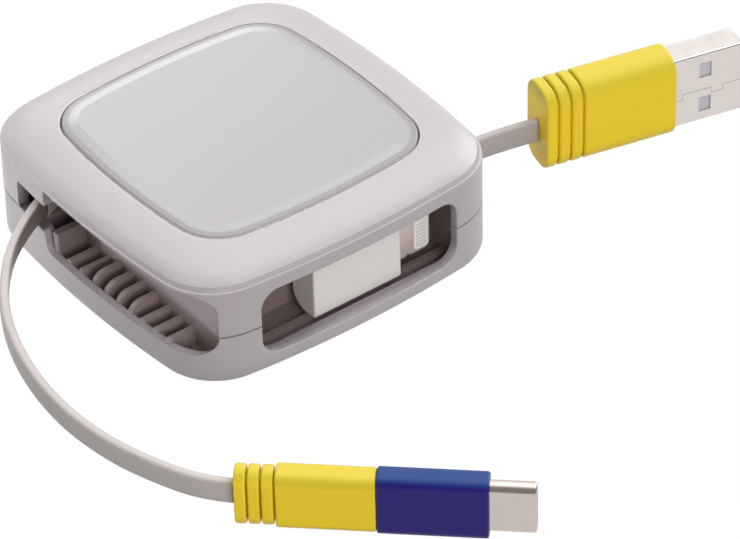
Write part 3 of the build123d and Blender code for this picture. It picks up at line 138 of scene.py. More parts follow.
# Routes of the two free cable ends, from the case's mouths to the plugs' tails
HOST_ROUTE = [
    (0.026205, -0.016322, 0.01045), (0.0296, -0.0165, 0.01045), (0.035244, -0.017407, 0.01045),
    (0.0401, -0.0186, 0.01045),
]
DEVICE_ROUTE = [
    (-0.026225, 0.012467, 0.01045), (-0.0312, 0.0100, 0.01045), (-0.0380, 0.0049, 0.0098),
    (-0.0440, -0.0032, 0.0089), (-0.0476, -0.0129, 0.0079), (-0.0488, -0.0235, 0.0069),
    (-0.0476, -0.0329, 0.0062), (-0.0452, -0.0400, 0.0057), (-0.0419, -0.0472, 0.0054),
    (-0.0387, -0.0504, 0.0053),
]
ROUTE_STEPS = 16
EDGE_STEPS = 5
LEAN_RUN = 0.024  # length over which the free end leans beside the case
SHADED_RUN = (0.0088, 0.022)  # from the painted shade on the inner face beside the slot to the plain jacket
INNER_FACE = (0.75, 0.97)  # shares of the thickness, from the middle to the inner face


def colour_setting(name, description, default):
    """Linear colour that a user may change."""
    return FloatVectorProperty(
        name=name, description=description, default=default, size=3, subtype="COLOR", min=0.0, max=1.0
    )


class CaseSettings(bpy.types.PropertyGroup):
    """Colours and finish of the case and of what is inside it."""

    shell: colour_setting("Shell", "Satin silver of the two case halves", (0.385, 0.348, 0.36))
    # Painted shade: the darker colour that the case's hollows take where they lack light
    inside: colour_setting("Inside", "Painted shade in the case's hollows", (0.285, 0.22, 0.217))
    # Painted light: the pocket's upper wall is lighter than the paint outside
    wall: colour_setting("Pocket wall", "Painted light on the upper wall of the ribbed pocket", (0.56, 0.48, 0.54))
    # Painted shade on the edges of the bay's window
    rim: colour_setting("Bay rim", "Shaded paint on the edges of the bay's window", (0.26, 0.23, 0.255))
    # Painted shade of the bay, darker than in the case's other hollows
    bay: colour_setting("Bay", "Painted shade in the bay of the phone adapter", (0.225, 0.172, 0.168))
    panel: colour_setting("Panel", "Silver under the clear panel of the top", (0.327, 0.309, 0.313))
    # Painted light that lifts the dark groove round the panel
    panel_wall_light: colour_setting("Panel wall", "Painted light on the sides of the clear panel", (0.80, 0.76, 0.77))
    screw: colour_setting("Screws", "Steel of the case's screws", (0.50, 0.50, 0.51))
    steel: colour_setting("Steel", "Bright steel of the axle, spring and ball", (0.56, 0.57, 0.58))
    reel: colour_setting("Reel", "Plastic of the reel", (0.10, 0.08, 0.075))
    grain: FloatProperty(
        name="Grain", description="Depth of the moulded grain", default=PLASTIC_GRAIN, unit="LENGTH",
        precision=6,
    )


class CableSettings(bpy.types.PropertyGroup):
    """Section and colours of the flat cable."""

    thick: FloatProperty(
        name="Thickness", description="Across the flat cable", default=0.00135, unit="LENGTH", precision=5
    )
    wide: FloatProperty(
        name="Width", description="Along the flat side", default=0.00388, unit="LENGTH", precision=5
    )
    edge: FloatProperty(
        name="Edge radius", description="Rounding of its edges", default=0.0005, unit="LENGTH", precision=5
    )
    lean: FloatProperty(
        name="Lean", description="Tilt of the free end beside the case", default=radians(-8), subtype="ANGLE"
    )
    jacket: colour_setting("Jacket", "Warm grey jacket", (0.465, 0.425, 0.41))
    # Painted shade on the jacket's inner face beside the slot
    inner: colour_setting("Inner face", "Jacket's inner face beside the slot", (0.18, 0.135, 0.125))


class PlugSettings(bpy.types.PropertyGroup):
    """Colours of the plugs and adapters."""

    yellow: colour_setting("Yellow", "Soft grips of the two plugs", (0.88, 0.635, 0.02))
    # Painted shade on the upper edges of the grips
    yellow_top_shade: colour_setting("Yellow top", "Deeper tone on top of the grips", (0.58, 0.455, 0.022))
    blue: colour_setting("Blue", "Body of the oval adapter", (0.012, 0.003, 0.145))
    # Painted reflection on the oval adapter's upper edge
    blue_top_reflection: colour_setting("Blue top", "Tone on top of the oval adapter", (0.004, 0.034, 0.175))
    cream: colour_setting("Cream", "Body of the phone adapter", (0.78, 0.745, 0.735))
    nickel: colour_setting("Nickel", "Plated sheet of the two plugs", (0.68, 0.63, 0.60))
    oval_nickel: colour_setting("Oval nickel", "Plated sheet of the oval adapter", (0.57, 0.50, 0.46))
    blade: colour_setting("Blade", "Plated sheet of the phone adapter", (0.70, 0.585, 0.535))
    gold: colour_setting("Gold", "Plated contacts", (0.83, 0.62, 0.28))
    blade_contacts: colour_setting("Blade contacts", "Pale contacts of the blade", (0.88, 0.84, 0.82))
    blade_frame: colour_setting("Blade frame", "White frame of the blade's contacts", (0.97, 0.95, 0.94))
    tongue: colour_setting("Tongue", "Pale plastic of the host plug's tongue", (0.56, 0.545, 0.59))
    dark: colour_setting("Dark insert", "Black plastic in the small plugs and sockets", (0.02, 0.02, 0.022))


class StageSettings(bpy.types.PropertyGroup):
    """Camera and light of the studio."""

    eye: FloatVectorProperty(
        name="Eye", description="Place of the camera", default=(-0.3047066, -0.4359377, 0.4128792), size=3,
        subtype="XYZ", unit="LENGTH"
    )
    azimuth: FloatProperty(
        name="Azimuth", description="Turn of the camera about the upright", default=radians(-36.919),
        subtype="ANGLE"
    )
    elevation: FloatProperty(
        name="Elevation", description="Height of the camera above the horizon", default=radians(38.347),
        subtype="ANGLE"
    )
    roll: FloatProperty(
        name="Roll", description="Turn of the camera about its own view", default=radians(-1.456),
        subtype="ANGLE"
    )
    lens: FloatProperty(
        name="Lens", description="Focal length in millimetres", default=223.996, unit="CAMERA"
    )
    key: FloatProperty(
        name="Key", description="Power of the softbox at the front", default=4.5, subtype="POWER"
    )
    fill: FloatProperty(
        name="Fill", description="Power of the softbox at the left", default=1.2, subtype="POWER"
    )
    rim: FloatProperty(
        name="Rim", description="Power of the softbox at the right", default=2.1, subtype="POWER"
    )
    side: FloatProperty(
        name="Side", description="Power of the small lamp low at the case's left", default=0.002,
        subtype="POWER", precision=4
    )
    sky: FloatProperty(name="Sky", description="Strength of the surroundings at the front", default=0.32)
    glow: FloatProperty(name="Glow", description="Strength of the wall at the back right", default=1.05)
    ceiling: FloatProperty(name="Ceiling", description="Strength of that wall's upper part", default=2.0)
    top: FloatProperty(name="Top", description="Strength of the wide softbox above", default=2.35)
    strip: FloatProperty(name="Strip", description="Strength of the narrow softbox at the back", default=3.0)


class Wire:
    """Output of a shader node; arithmetic on it adds Math nodes to the same finish."""

    def __init__(self, finish, socket):
        self.finish = finish
        self.socket = socket

    def maths(self, operation, first, second=0.0):
        return self.finish.node("ShaderNodeMath", {"operation": operation}, {0: first, 1: second})

    def __add__(self, other):
        return self.maths("ADD", self, other)

    __radd__ = __add__

    def __sub__(self, other):
        return self.maths("SUBTRACT", self, other)

    def __rsub__(self, other):
        return self.maths("SUBTRACT", other, self)

    def __mul__(self, other):
        return self.maths("MULTIPLY", self, other)

    __rmul__ = __mul__

    def __pow__(self, other):
        return self.maths("POWER", self, other)

    def __abs__(self):
        return self.maths("ABSOLUTE", self)

    def __or__(self, other):
        return self.maths("MAXIMUM", self, other)

    def __lt__(self, other):
        return self.maths("LESS_THAN", self, other)

    def __gt__(self, other):
        return self.maths("GREATER_THAN", self, other)


class Finish:
    """Node tree of a material or a world, under construction."""

    def __init__(self, owner):
        owner.use_nodes = True
        self.owner = owner
        self.tree = owner.node_tree
        self.tree.nodes.clear()

    def node(self, kind, settings=None, sockets=None, output=0):
        """Adds a node with its settings, then the values or links of its sockets."""
        made = self.tree.nodes.new(kind)
        for key, value in (settings or {}).items():
            setattr(made, key, value)
        for key, value in (sockets or {}).items():
            if isinstance(value, Wire):
                self.tree.links.new(value.socket, made.inputs[key])
            else:
                made.inputs[key].default_value = value
        return Wire(self, made.outputs[output]) if made.outputs else made

    def place(self, stretch=(1.0, 1.0, 1.0), turn=0.0):
        """Object coordinates, turned about Z and stretched."""
        point = self.node("ShaderNodeTexCoord", output="Object")
        return self.node(
            "ShaderNodeMapping", None, {"Vector": point, "Scale": stretch, "Rotation": (0.0, 0.0, turn)}
        )

    def axes(self, coordinates="Object"):
        """X, Y and Z of a kind of coordinates."""
        point = self.node("ShaderNodeTexCoord", output=coordinates)
        return [self.node("ShaderNodeSeparateXYZ", None, {0: point}, output=axis) for axis in "XYZ"]

    def along(self, uv_map):
        """A UV map of the piece, and its first axis."""
        spot = self.node("ShaderNodeUVMap", {"uv_map": uv_map})
        return spot, self.node("ShaderNodeSeparateXYZ", None, {0: spot}, output="X")

    def inset(self, half, corner, bow):
        """Depth of a place inside an upright square outline with round corners and bowed sides.

        A side is one arc, which falls back by the bow at its ends, and the corner's arc runs on from it.
        """
        x, y, _ = self.axes()
        x, y = abs(x), abs(y)
        side = ((half - corner) ** 2 + bow**2) / (2 * bow)
        centre = half - side
        elbow = (centre + (2 * (side - corner) ** 2 - centre**2) ** 0.5) / 2
        slope = elbow / (elbow - centre)
        past_x, past_y = x - elbow, y - elbow
        turning = (past_x > past_y * slope) * (past_y > past_x * slope)
        from_corner = (past_x * past_x + past_y * past_y) ** 0.5
        from_side = ((x - centre) ** 2 + y * y) ** 0.5 | ((y - centre) ** 2 + x * x) ** 0.5
        return turning * (corner - from_corner) + (1.0 - turning) * (side - from_side)

    def ramp(self, value, low, high):
        """Smooth step from 0 to 1 between two values."""
        return self.node(
            "ShaderNodeMapRange", {"interpolation_type": "SMOOTHSTEP"},
            {"Value": value, "From Min": low, "From Max": high},
        )

    def noise(self, point, scale, detail, rough=0.5):
        """Noise value around a half."""
        return self.node(
            "ShaderNodeTexNoise", None,
            {"Vector": point, "Scale": scale, "Detail": detail, "Roughness": rough},
        )

    def mix(self, factor, first, second):
        """Colour between two colours."""
        return self.node(
            "ShaderNodeMix", {"data_type": "RGBA"}, {0: factor, 6: rgba(first), 7: rgba(second)}, output=2
        )

    def tones(self, factor, colour, dark, light):
        """Colour between two tones of one colour."""
        return self.mix(factor, shade(colour, dark), shade(colour, light))

    def bump(self, height, distance):
        """Normal of a surface with this height, in metres for a full step."""
        return self.node("ShaderNodeBump", None, {"Height": height, "Distance": distance, "Strength": 1.0})

    def surface(self, sockets):
        """Ends the material with a principled surface."""
        shader = self.node("ShaderNodeBsdfPrincipled", None, sockets)
        self.node("ShaderNodeOutputMaterial", None, {"Surface": shader})
        return self.owner


def rgba(colour):
    """Colour with its alpha, or the wire as it is."""
    return colour if isinstance(colour, Wire) else (*colour[:3], 1.0)


def shade(colour, factor):
    """Colour made lighter or darker."""
    return tuple(min(1.0, part * factor) for part in colour)


def plastic(finish, colour, mottle):
    """Mottled colour of a moulding, the specks of its grain and the patches of its gloss."""
    point = finish.place()
    cloud = finish.noise(point, scale=140.0, detail=3.0)
    speck = finish.noise(point, scale=6500.0, detail=1.0)
    patch = finish.noise(point, scale=700.0, detail=2.0)
    tone = finish.tones(cloud * 0.8 + speck * 0.2, colour, 1.0 - mottle, 1.0 + mottle)
    return tone, speck, patch


def moulded(name, colour, roughness, grain=PLASTIC_GRAIN, crown=None, shine=0.5):
    """Moulded plastic: faint mottling, uneven gloss and a fine grain.

    A crown is a colour painted on its upper edge, as shade on the grips and as a reflection on the oval
    adapter, and the heights over which that takes over.
    """
    finish = Finish(bpy.data.materials.new(name))
    tone, speck, patch = plastic(finish, colour, PLASTIC_MOTTLE)
    if crown:
        top_colour, heights = crown
        tone = finish.mix(finish.ramp(finish.axes()[2], *heights), tone, top_colour)
    return finish.surface({
        "Base Color": tone,
        "Roughness": patch * GLOSS_SPREAD + (roughness - GLOSS_SPREAD / 2),
        "Specular IOR Level": shine,
        "Normal": finish.bump(speck, grain),
    })


def soft_grip(name, settings, heights):
    """Soft yellow grip of a plug, with painted shade on top."""
    crown = (settings.yellow_top_shade, heights)
    return moulded(name, settings.yellow, roughness=0.40, grain=GRIP_GRAIN, crown=crown, shine=0.35)


def polished(name, colour, wall):
    """Clear panel over silver: faint clouds under a smooth coat, a strip round it with painted shade and less
    coat, and walls made pale as painted light.
    """
    finish = Finish(bpy.data.materials.new(name))
    cloud = finish.noise(finish.place(), scale=45.0, detail=0.0)
    height = finish.axes()[2]
    strip = 1.0 - finish.ramp(height, *PANEL_STRIP_Z)
    tone = finish.tones(cloud, colour, dark=0.985, light=1.015)
    # Painted shade on the strip round the panel
    tone = finish.mix(strip, tone, shade(colour, PANEL_STRIP_SHADE))
    return finish.surface({
        # Painted light on the panel's sides below that height
        "Base Color": finish.mix(height < PANEL_WALL_Z, tone, wall),
        "Roughness": cloud * PANEL_SPREAD + PANEL_ROUGHNESS,
        "Coat Weight": 1.0 - strip * PANEL_STRIP_COAT_LOSS,
        "Coat Roughness": 0.08,
    })


def painted_case(name, settings):
    """Satin paint on the outside of the case with a dark seam; a painted highlight on the recess's lip,
    painted shade on its wall, in the hollows, the slot and the bay, and painted light on the pocket's upper
    wall.
    """
    finish = Finish(bpy.data.materials.new(name))
    paint, speck, patch = plastic(finish, settings.shell, SHELL_MOTTLE)
    x, y, z = finish.axes()

    seam = 1.0 - finish.ramp(abs(z - SEAM_Z), *SEAM_REACH)
    recess = finish.inset(*RECESS_OUTLINE)
    lip = finish.ramp(recess, *LIP_DEPTH) * (z > GROOVE_BASE)
    paint = finish.mix(seam, paint, shade(settings.shell, SEAM_TONE))
    # Painted highlight on the lip round the recess
    paint = finish.mix(lip, paint, shade(settings.shell, LIP_HIGHLIGHT))
    # Painted shade on the recess's wall in the groove round the panel
    paint = finish.mix(lip * (recess > RECESS_WALL_DEPTH), paint, shade(settings.shell, RECESS_SHADE))

    depth = finish.inset(*CASE_OUTLINE)
    # Mask of the painted shade inside the case, between its base and the dome
    hollow_shade = finish.ramp(depth, *HOLLOW_DEPTH) * (z < HOLLOW_TOP) * (z > HOLLOW_BASE)
    # Painted shade on the ribs and in the slot, painted light on the pocket's upper wall
    slot = finish.ramp(y, *SLOT_Y) * (z < SLOT_TOP)
    pocket_light_and_shade = finish.mix(finish.ramp(z, *POCKET_WALL_Z), settings.inside, settings.wall)
    pocket_light_and_shade = finish.mix(slot, pocket_light_and_shade, shade(settings.inside, SLOT_SHADE))
    # Painted shade in the bay: its rim's tone, then a darker one behind it
    bay = (x > BAY_LEFT_X) * (y < BAY_BACK_Y)
    bay_shade = finish.mix(finish.ramp(depth, *BAY_RIM_DEPTH), settings.rim, settings.bay)
    return finish.surface({
        "Base Color": finish.mix(hollow_shade, paint, finish.mix(bay, pocket_light_and_shade, bay_shade)),
        "Roughness": patch * GLOSS_SPREAD + hollow_shade * HOLLOW_DULLNESS + PAINT_ROUGHNESS,
        "Specular IOR Level": 1.0,
        "Normal": finish.bump(speck, settings.grain),
    })


def plated(name, colour, roughness, turn=0.0, metal=1.0):
    """Plated sheet metal: fine drawn lines along the piece and soft blotches in its gloss."""
    finish = Finish(bpy.data.materials.new(name))
    drawn = finish.place((1.0, DRAWN_STRETCH, DRAWN_STRETCH), turn)
    lines = finish.noise(drawn, scale=180.0, detail=3.0, rough=0.6)
    blotch = finish.noise(finish.place(), scale=420.0, detail=3.0)
    return finish.surface({
        "Base Color": finish.tones(blotch, colour, dark=0.93, light=1.06),
        "Metallic": metal,
        "Roughness": lines * PLATE_SPREAD + blotch * PLATE_SPREAD + (roughness - PLATE_SPREAD),
        "Normal": finish.bump(lines, DRAWN_GRAIN),
    })


def jacketed(name, colour, inner=None):
    """Jacket of the flat cable: matt, with fine drawn lines along it and soft clouds.

    If a colour is given for its inner face, that face has it as painted shade over the first stretch.
    """
    finish = Finish(bpy.data.materials.new(name))
    spot, run = finish.along("run")
    drawn = finish.node("ShaderNodeMapping", None, {"Vector": spot, "Scale": JACKET_STRETCH})
    lines = finish.noise(drawn, scale=1.0, detail=3.0, rough=0.6)
    point = finish.place()
    cloud = finish.noise(point, scale=300.0, detail=3.0)
    speck = finish.noise(point, scale=9000.0, detail=1.0)
    tone = finish.tones(cloud * 0.7 + lines * 0.3, colour, dark=0.93, light=1.07)
    if inner is not None:
        _, across = finish.along("side")
        # Painted shade on the inner face over the first stretch
        near = 1.0 - finish.ramp(run, *SHADED_RUN)
        tone = finish.mix(finish.ramp(across, *INNER_FACE) * near, tone, inner)
    return finish.surface({
        "Base Color": tone,
        "Roughness": cloud * JACKET_SPREAD + JACKET_ROUGHNESS,
        "Normal": finish.bump(lines * 0.7 + speck * 0.3, JACKET_GRAIN),
    })


def new_piece(name, mesh, body):
    """Object for a finished mesh, riding on a body if one is given."""
    piece = bpy.data.objects.new(name, mesh)
    bpy.context.scene.collection.objects.link(piece)
    if body:
        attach(piece, body)
    return piece


def dress(material, *nodes):
    """Gives nodes of the frame their finish."""
    for node in nodes:
        materials = frame["nodes"][node].data.materials
        materials.clear()
        materials.append(material)


def smooth_copy(node, name, material):
    """Merged copy of a node, whose shallow facets shade as one surface."""
    mesh = frame["nodes"][node].data.copy()
    mesh.name = name
    if "custom_normal" in mesh.attributes:
        mesh.attributes.remove(mesh.attributes["custom_normal"])
    shape = bmesh.new()
    shape.from_mesh(mesh)
    bmesh.ops.remove_doubles(shape, verts=shape.verts, dist=WELD)
    for face in shape.faces:
        face.smooth = True
    for edge in shape.edges:
        edge.smooth = len(edge.link_faces) == 2 and edge.calc_face_angle() < CREASE
    shape.to_mesh(mesh)
    shape.free()
    mesh.materials.clear()
    mesh.materials.append(material)
    piece = new_piece(name, mesh, BODY_OF[node])
    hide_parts(node)


def route_spline(name, points):
    """Curve object with one open smooth spline along a route."""
    data = bpy.data.curves.new(name, "CURVE")
    data.dimensions = "3D"
    data.resolution_u = ROUTE_STEPS
    spline = data.splines.new("NURBS")
    spline.points.add(len(points) - 1)
    for control, point in zip(spline.points, points):
        control.co = (*point, 1.0)
    spline.order_u = 3
    spline.use_endpoint_u = True
    carrier = bpy.data.objects.new(name, data)
    bpy.context.scene.collection.objects.link(carrier)
    return carrier


def spline_path(name, points):
    """Places along the smooth spline of a route, and the run of the cable up to each."""
    carrier = route_spline(name, points)
    bpy.context.view_layer.update()
    shown = carrier.evaluated_get(bpy.context.evaluated_depsgraph_get())
    line = bpy.data.meshes.new_from_object(shown)
    path = [vertex.co.copy() for vertex in line.vertices]
    bpy.data.objects.remove(carrier)
    bpy.data.meshes.remove(line)
    run = [0.0]
    for before, here in zip(path, path[1:]):
        run.append(run[-1] + (here - before).length)
    return path, run


def section_outline(settings):
    """Places round the section of the flat cable, flat on XY with its width along Y."""
    shape = bmesh.new()
    bmesh.ops.create_grid(shape, x_segments=1, y_segments=1, size=0.5)
    bmesh.ops.scale(shape, vec=(settings.thick, settings.wide, 1.0), verts=shape.verts)
    bmesh.ops.bevel(
        shape, geom=shape.verts[:], offset=settings.edge, affect="VERTICES", segments=EDGE_STEPS,
        profile=0.5, material=-1,
    )
    section = shape.faces[:][0]
    outline = [vertex.co.copy() for vertex in section.verts]
    shape.free()
    return outline


def flat_cable(name, route, settings, lean_run=None):
    """Flat cable on its edge along a route, leaning over its first stretch if that has a length.

    Gives its mesh, the points it follows and its length. The mesh has a UV map along the cable and round it,
    and another with the place in its section.
    """
    path, run = spline_path(name + "_route", route)
    outline = section_outline(settings)
    count = len(outline)
    shape = bmesh.new()
    rings = []
    for index, point in enumerate(path):
        heading = (path[min(index + 1, len(path) - 1)] - path[max(index - 1, 0)]).normalized()
        across = Vector((0.0, 0.0, 1.0)).cross(heading).normalized()
        if lean_run and run[index] < lean_run:
            across.rotate(Quaternion(heading, settings.lean * sin(pi * run[index] / lean_run)))
        upward = heading.cross(across)
        rings.append([shape.verts.new(point + across * co.x + upward * co.y) for co in outline])
    loops = [[shape.edges.new(pair) for pair in zip(ring, ring[1:] + ring[:1])] for ring in rings]
    for near, far in zip(loops, loops[1:]):
        bmesh.ops.bridge_loops(shape, edges=near + far)
    for ring in (rings[0], rings[-1]):
        shape.faces.new(ring)
    bmesh.ops.recalc_face_normals(shape, faces=shape.faces)
    shape.verts.index_update()
    uv = shape.loops.layers.uv.new("run")
    side = shape.loops.layers.uv.new("side")
    for face in shape.faces:
        face.smooth = len(face.verts) == 4
        spots = [loop.vert.index % count for loop in face.loops]
        closing = len(spots) == 4 and max(spots) - min(spots) > 1
        for loop, spot in zip(face.loops, spots):
            round_it = count if closing and spot == 0 else spot
            loop[uv].uv = (run[loop.vert.index // count], round_it / count)
            loop[side].uv = (outline[spot].x / settings.thick + 0.5, outline[spot].y / settings.wide + 0.5)
    mesh = bpy.data.meshes.new(name)
    shape.to_mesh(mesh)
    shape.free()
    return mesh, path, run[-1]


class CABLE_OT_host_lead(bpy.types.Operator):
    """Free cable end between the case and the host plug, drawn out as the plug is pulled"""

    bl_idname = "cable.host_lead"
    bl_label = "Host lead"

    def execute(self, context):
        settings = context.scene.cable_settings
        mesh, path, _ = flat_cable("host_ribbon", HOST_ROUTE, settings)
        # The host lead's jacket is darkened as painted shade
        mesh.materials.append(jacketed("jacket_host", shade(settings.jacket, HOST_LEAD_SHADE)))
        piece = new_piece("host_ribbon", mesh, None)
        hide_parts("host_lead")
        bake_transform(piece)
        return {"FINISHED"}


class CABLE_OT_device_lead(bpy.types.Operator):
    """Free cable end that loops from the case's slot to the device plug"""

    bl_idname = "cable.device_lead"
    bl_label = "Device lead"

    def execute(self, context):
        settings = context.scene.cable_settings
        mesh, path, length = flat_cable("device_ribbon", DEVICE_ROUTE, settings, LEAN_RUN)
        mesh.materials.append(jacketed("jacket_device", settings.jacket, settings.inner))
        piece = new_piece("device_ribbon", mesh, "case")
        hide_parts("device_lead")
        return {"FINISHED"}


class CABLE_OT_case(bpy.types.Operator):
    """Two halves of the case and the screws that hold them"""

    bl_idname = "cable.case"
    bl_label = "Case"

    def execute(self, context):
        settings = context.scene.case_settings
        satin = painted_case("satin_silver", settings)
        smooth_copy("lower_shell", "case_bottom", satin)
        smooth_copy("upper_shell", "case_top", satin)
        dress(plated("screw_steel_plate", settings.screw, roughness=0.35), "case_screws")
        return {"FINISHED"}


class CABLE_OT_panel(bpy.types.Operator):
    """Clear panel let into the top of the case"""

    bl_idname = "cable.panel"
    bl_label = "Top panel"

    def execute(self, context):
        settings = context.scene.case_settings
        dress(polished("clear_over_silver", settings.panel, settings.panel_wall_light), "top_insert")
        return {"FINISHED"}


class CABLE_OT_mechanism(bpy.types.Operator):
    """Reel, spring, latch and stored cable inside the case"""

    bl_idname = "cable.mechanism"
    bl_label = "Mechanism"

    def execute(self, context):
        settings = context.scene.case_settings
        jacket = moulded("jacket_stored", context.scene.cable_settings.jacket, roughness=0.48)
        dress(moulded("reel_brown", settings.reel, roughness=0.45), "reel", "spring_cover")
        dress(plated("bright_steel", settings.steel, roughness=0.28), "axle", "power_spring", "latch_ball")
        dress(jacket, "cable_winding", "host_lead_inner", "device_lead_inner")
        return {"FINISHED"}


class CABLE_OT_host_plug(bpy.types.Operator):
    """Large plug at the host end"""

    bl_idname = "cable.host_plug"
    bl_label = "Host plug"

    def execute(self, context):
        settings = context.scene.plug_settings
        dress(soft_grip("yellow_host", settings, HOST_CROWN), "host_plug_grip")
        dress(plated("nickel_host", settings.nickel, roughness=0.22, turn=HOST_TURN), "host_plug_shell")
        dress(moulded("pale_tongue", settings.tongue, roughness=0.45), "host_plug_tongue")
        dress(plated("gold_host", settings.gold, roughness=0.25), "host_plug_contacts")
        return {"FINISHED"}


class CABLE_OT_device_plug(bpy.types.Operator):
    """Small plug at the device end"""

    bl_idname = "cable.device_plug"
    bl_label = "Device plug"

    def execute(self, context):
        settings = context.scene.plug_settings
        dress(soft_grip("yellow_device", settings, DEVICE_CROWN), "device_plug_grip")
        dress(plated("nickel_device", settings.nickel, roughness=0.30, turn=DEVICE_TURN), "device_plug_shell")
        dress(moulded("dark_insert_device", settings.dark, roughness=0.45), "device_plug_insert")
        dress(plated("gold_device", settings.gold, roughness=0.25), "device_plug_contacts")
        return {"FINISHED"}


class CABLE_OT_oval_adapter(bpy.types.Operator):
    """Blue adapter with the oval nose"""

    bl_idname = "cable.oval_adapter"
    bl_label = "Oval adapter"

    def execute(self, context):
        settings = context.scene.plug_settings
        # Painted reflection on the adapter's upper edge
        crown = (settings.blue_top_reflection, OVAL_CROWN)
        body = moulded("deep_blue", settings.blue, roughness=0.36, grain=GRIP_GRAIN, crown=crown, shine=0.3)
        nickel = plated("nickel_oval", settings.oval_nickel, roughness=0.22, turn=DEVICE_TURN)
        dark = moulded("dark_insert_oval", settings.dark, roughness=0.45)
        dress(body, "oval_adapter_body")
        dress(nickel, "oval_adapter_nose", "oval_adapter_socket")
        dress(dark, "oval_adapter_insert", "oval_adapter_socket_tongue")
        dress(plated("gold_oval", settings.gold, roughness=0.25), "oval_adapter_contacts")
        return {"FINISHED"}


class CABLE_OT_phone_adapter(bpy.types.Operator):
    """Cream adapter with the flat blade, lying in its bay"""

    bl_idname = "cable.phone_adapter"
    bl_label = "Phone adapter"

    def execute(self, context):
        settings = context.scene.plug_settings
        nickel = plated("nickel_phone", settings.blade, roughness=0.34, metal=0.3)
        contacts = plated("pale_contacts", settings.blade_contacts, roughness=0.36, metal=0.15)
        dress(moulded("cream", settings.cream, roughness=0.35), "phone_adapter_body")
        dress(nickel, "phone_adapter_blade", "phone_adapter_socket")
        dress(moulded("white_frame", settings.blade_frame, roughness=0.4), "phone_adapter_contact_frame")
        dress(contacts, "phone_adapter_contacts")
        dress(moulded("dark_insert_phone", settings.dark, roughness=0.45), "phone_adapter_socket_tongue")
        return {"FINISHED"}


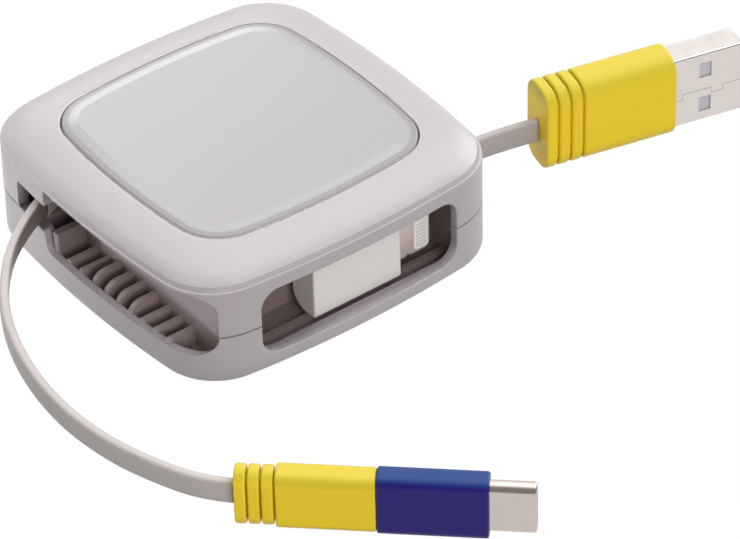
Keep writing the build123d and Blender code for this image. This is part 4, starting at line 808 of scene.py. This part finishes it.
class CABLE_OT_stage(bpy.types.Operator):
    """Floor, lights and camera"""

    bl_idname = "cable.stage"
    bl_label = "Stage"

    FLOOR_REACH = 3.0
    FLOOR_DROP = 0.0001
    FLOOR_GREY = (0.20, 0.195, 0.195, 1.0)
    FLOOR_WHITE = 1.15  # strength of what the camera and mirrors see in place of the grey
    FLOOR_SHARE = 0.85  # share that this has there; the rest keeps the shadows
    SOFTBOX_SIZE = 0.5
    SENSOR = 36.0
    NEAR_CLIP = 0.01
    FAR_CLIP = 20.0

    def execute(self, context):
        settings = context.scene.stage_settings
        self.floor()
        self.world(settings)
        self.softbox("key_light", settings.key, place=(-0.20, -0.81, 0.38))
        self.softbox("fill_light", settings.fill, place=(-0.62, 0.60, 0.30))
        self.softbox("rim_light", settings.rim, place=(0.80, 0.15, 0.30), glossy=True)
        self.softbox(
            "side_light", settings.side, place=(-0.10, 0.06, 0.006), aim=(-0.0285, 0.018, 0.007), size=0.02,
            spread=radians(35),
        )
        self.camera(settings)
        context.scene.view_settings.view_transform = "Standard"
        return {"FINISHED"}

    def floor(self):
        """Pale floor that keeps the shadows and looks white to the camera."""
        finish = Finish(bpy.data.materials.new("pale_floor"))
        seen = finish.node("ShaderNodeLightPath", output="Is Camera Ray")
        mirrored = finish.node("ShaderNodeLightPath", output="Is Glossy Ray")
        matt = finish.node("ShaderNodeBsdfDiffuse", None, {"Color": self.FLOOR_GREY})
        white = finish.node("ShaderNodeEmission", None, {"Color": WHITE, "Strength": self.FLOOR_WHITE})
        share = (seen + mirrored) * self.FLOOR_SHARE
        whole = finish.node("ShaderNodeMixShader", None, {0: share, 1: matt, 2: white})
        finish.node("ShaderNodeOutputMaterial", None, {"Surface": whole})
        shape = bmesh.new()
        bmesh.ops.create_grid(shape, x_segments=1, y_segments=1, size=self.FLOOR_REACH)
        bmesh.ops.translate(shape, vec=(0.0, 0.0, -self.FLOOR_DROP), verts=shape.verts)
        mesh = bpy.data.meshes.new("floor")
        shape.to_mesh(mesh)
        shape.free()
        mesh.materials.append(finish.owner)
        floor = bpy.data.objects.new("floor", mesh)
        bpy.context.scene.collection.objects.link(floor)

    def world(self, settings):
        """Surroundings that are white to the camera and brightest at the back right."""
        finish = Finish(bpy.data.worlds.new("studio"))
        bpy.context.scene.world = finish.owner
        x, y, z = finish.axes("Generated")

        def background(strength):
            return finish.node("ShaderNodeBackground", None, {"Color": WHITE, "Strength": strength})

        def cover(share, under, over):
            return finish.node("ShaderNodeMixShader", None, {0: share, 1: under, 2: over})

        def within(light):
            towards, edge = light
            return finish.ramp(x * towards[0] + y * towards[1] + z * towards[2], *edge)

        wall = within(GLOW)
        around = cover(wall, background(settings.sky), background(settings.glow))
        around = cover(wall * finish.ramp(z, *CEILING_Z), around, background(settings.ceiling))
        around = cover(within(OVERHEAD), around, background(settings.top))
        around = cover(within(STRIP), around, background(settings.strip))
        seen = finish.node("ShaderNodeLightPath", output="Is Camera Ray")
        finish.node("ShaderNodeOutputWorld", None, {"Surface": cover(seen, around, background(1.0))})

    def softbox(self, name, power, place, aim=(0.0, 0.0, 0.0), size=SOFTBOX_SIZE, spread=pi, glossy=False):
        """Square area light that faces a place, with the spread of its beam."""
        data = bpy.data.lights.new(name, "AREA")
        data.shape = "SQUARE"
        data.size = size
        data.spread = spread
        data.energy = power
        lamp = bpy.data.objects.new(name, data)
        lamp.location = place
        lamp.visible_camera = False
        lamp.visible_glossy = glossy
        lamp.rotation_euler = (Vector(place) - Vector(aim)).to_track_quat("Z", "Y").to_euler()
        bpy.context.scene.collection.objects.link(lamp)

    def camera(self, settings):
        """Camera at the photograph's view."""
        turn, tilt, roll = settings.azimuth, settings.elevation, settings.roll
        back = Vector((sin(turn) * cos(tilt), -cos(turn) * cos(tilt), sin(tilt)))
        level = Vector((cos(turn), sin(turn), 0.0))
        upright = back.cross(level)
        right = cos(roll) * level + sin(roll) * upright
        up = cos(roll) * upright - sin(roll) * level
        data = bpy.data.cameras.new("camera")
        data.sensor_fit = "HORIZONTAL"
        data.sensor_width = self.SENSOR
        data.lens = settings.lens
        data.clip_start = self.NEAR_CLIP
        data.clip_end = self.FAR_CLIP
        camera = bpy.data.objects.new("camera", data)
        facing = Matrix((right, up, back)).transposed().to_4x4()
        camera.matrix_world = Matrix.Translation(settings.eye) @ facing
        bpy.context.scene.collection.objects.link(camera)
        bpy.context.scene.camera = camera


OPERATORS = (
    CABLE_OT_stage, CABLE_OT_host_lead, CABLE_OT_device_lead, CABLE_OT_case, CABLE_OT_panel,
    CABLE_OT_mechanism, CABLE_OT_host_plug, CABLE_OT_device_plug, CABLE_OT_oval_adapter,
    CABLE_OT_phone_adapter,
)


class CABLE_PT_sidebar(bpy.types.Panel):
    """Lists the steps that dress the cable"""

    bl_idname = "CABLE_PT_sidebar"
    bl_label = "Charging cable"
    bl_space_type = "VIEW_3D"
    bl_region_type = "UI"
    bl_category = "Cable"

    def draw(self, context):
        for operator in OPERATORS:
            self.layout.operator(operator.bl_idname)
        for group in SETTINGS:
            values = getattr(context.scene, group)
            for name in values.bl_rna.properties.keys():
                if name not in {"rna_type", "name"}:
                    self.layout.prop(values, name)


SETTINGS = {
    "case_settings": CaseSettings,
    "cable_settings": CableSettings,
    "plug_settings": PlugSettings,
    "stage_settings": StageSettings,
}
CLASSES = (*SETTINGS.values(), *OPERATORS, CABLE_PT_sidebar)


def register():
    for group in CLASSES:
        bpy.utils.register_class(group)
    for name, group in SETTINGS.items():
        setattr(bpy.types.Scene, name, PointerProperty(type=group))


def unregister():
    for name in SETTINGS:
        delattr(bpy.types.Scene, name)
    for group in reversed(CLASSES):
        bpy.utils.unregister_class(group)


def main():
    register()
    bpy.ops.cable.stage()
    bpy.ops.cable.host_lead()
    bpy.ops.cable.device_lead()
    bpy.ops.cable.case()
    bpy.ops.cable.panel()
    bpy.ops.cable.mechanism()
    bpy.ops.cable.host_plug()
    bpy.ops.cable.device_plug()
    bpy.ops.cable.oval_adapter()
    bpy.ops.cable.phone_adapter()


if __name__ == "__main__":
    main()
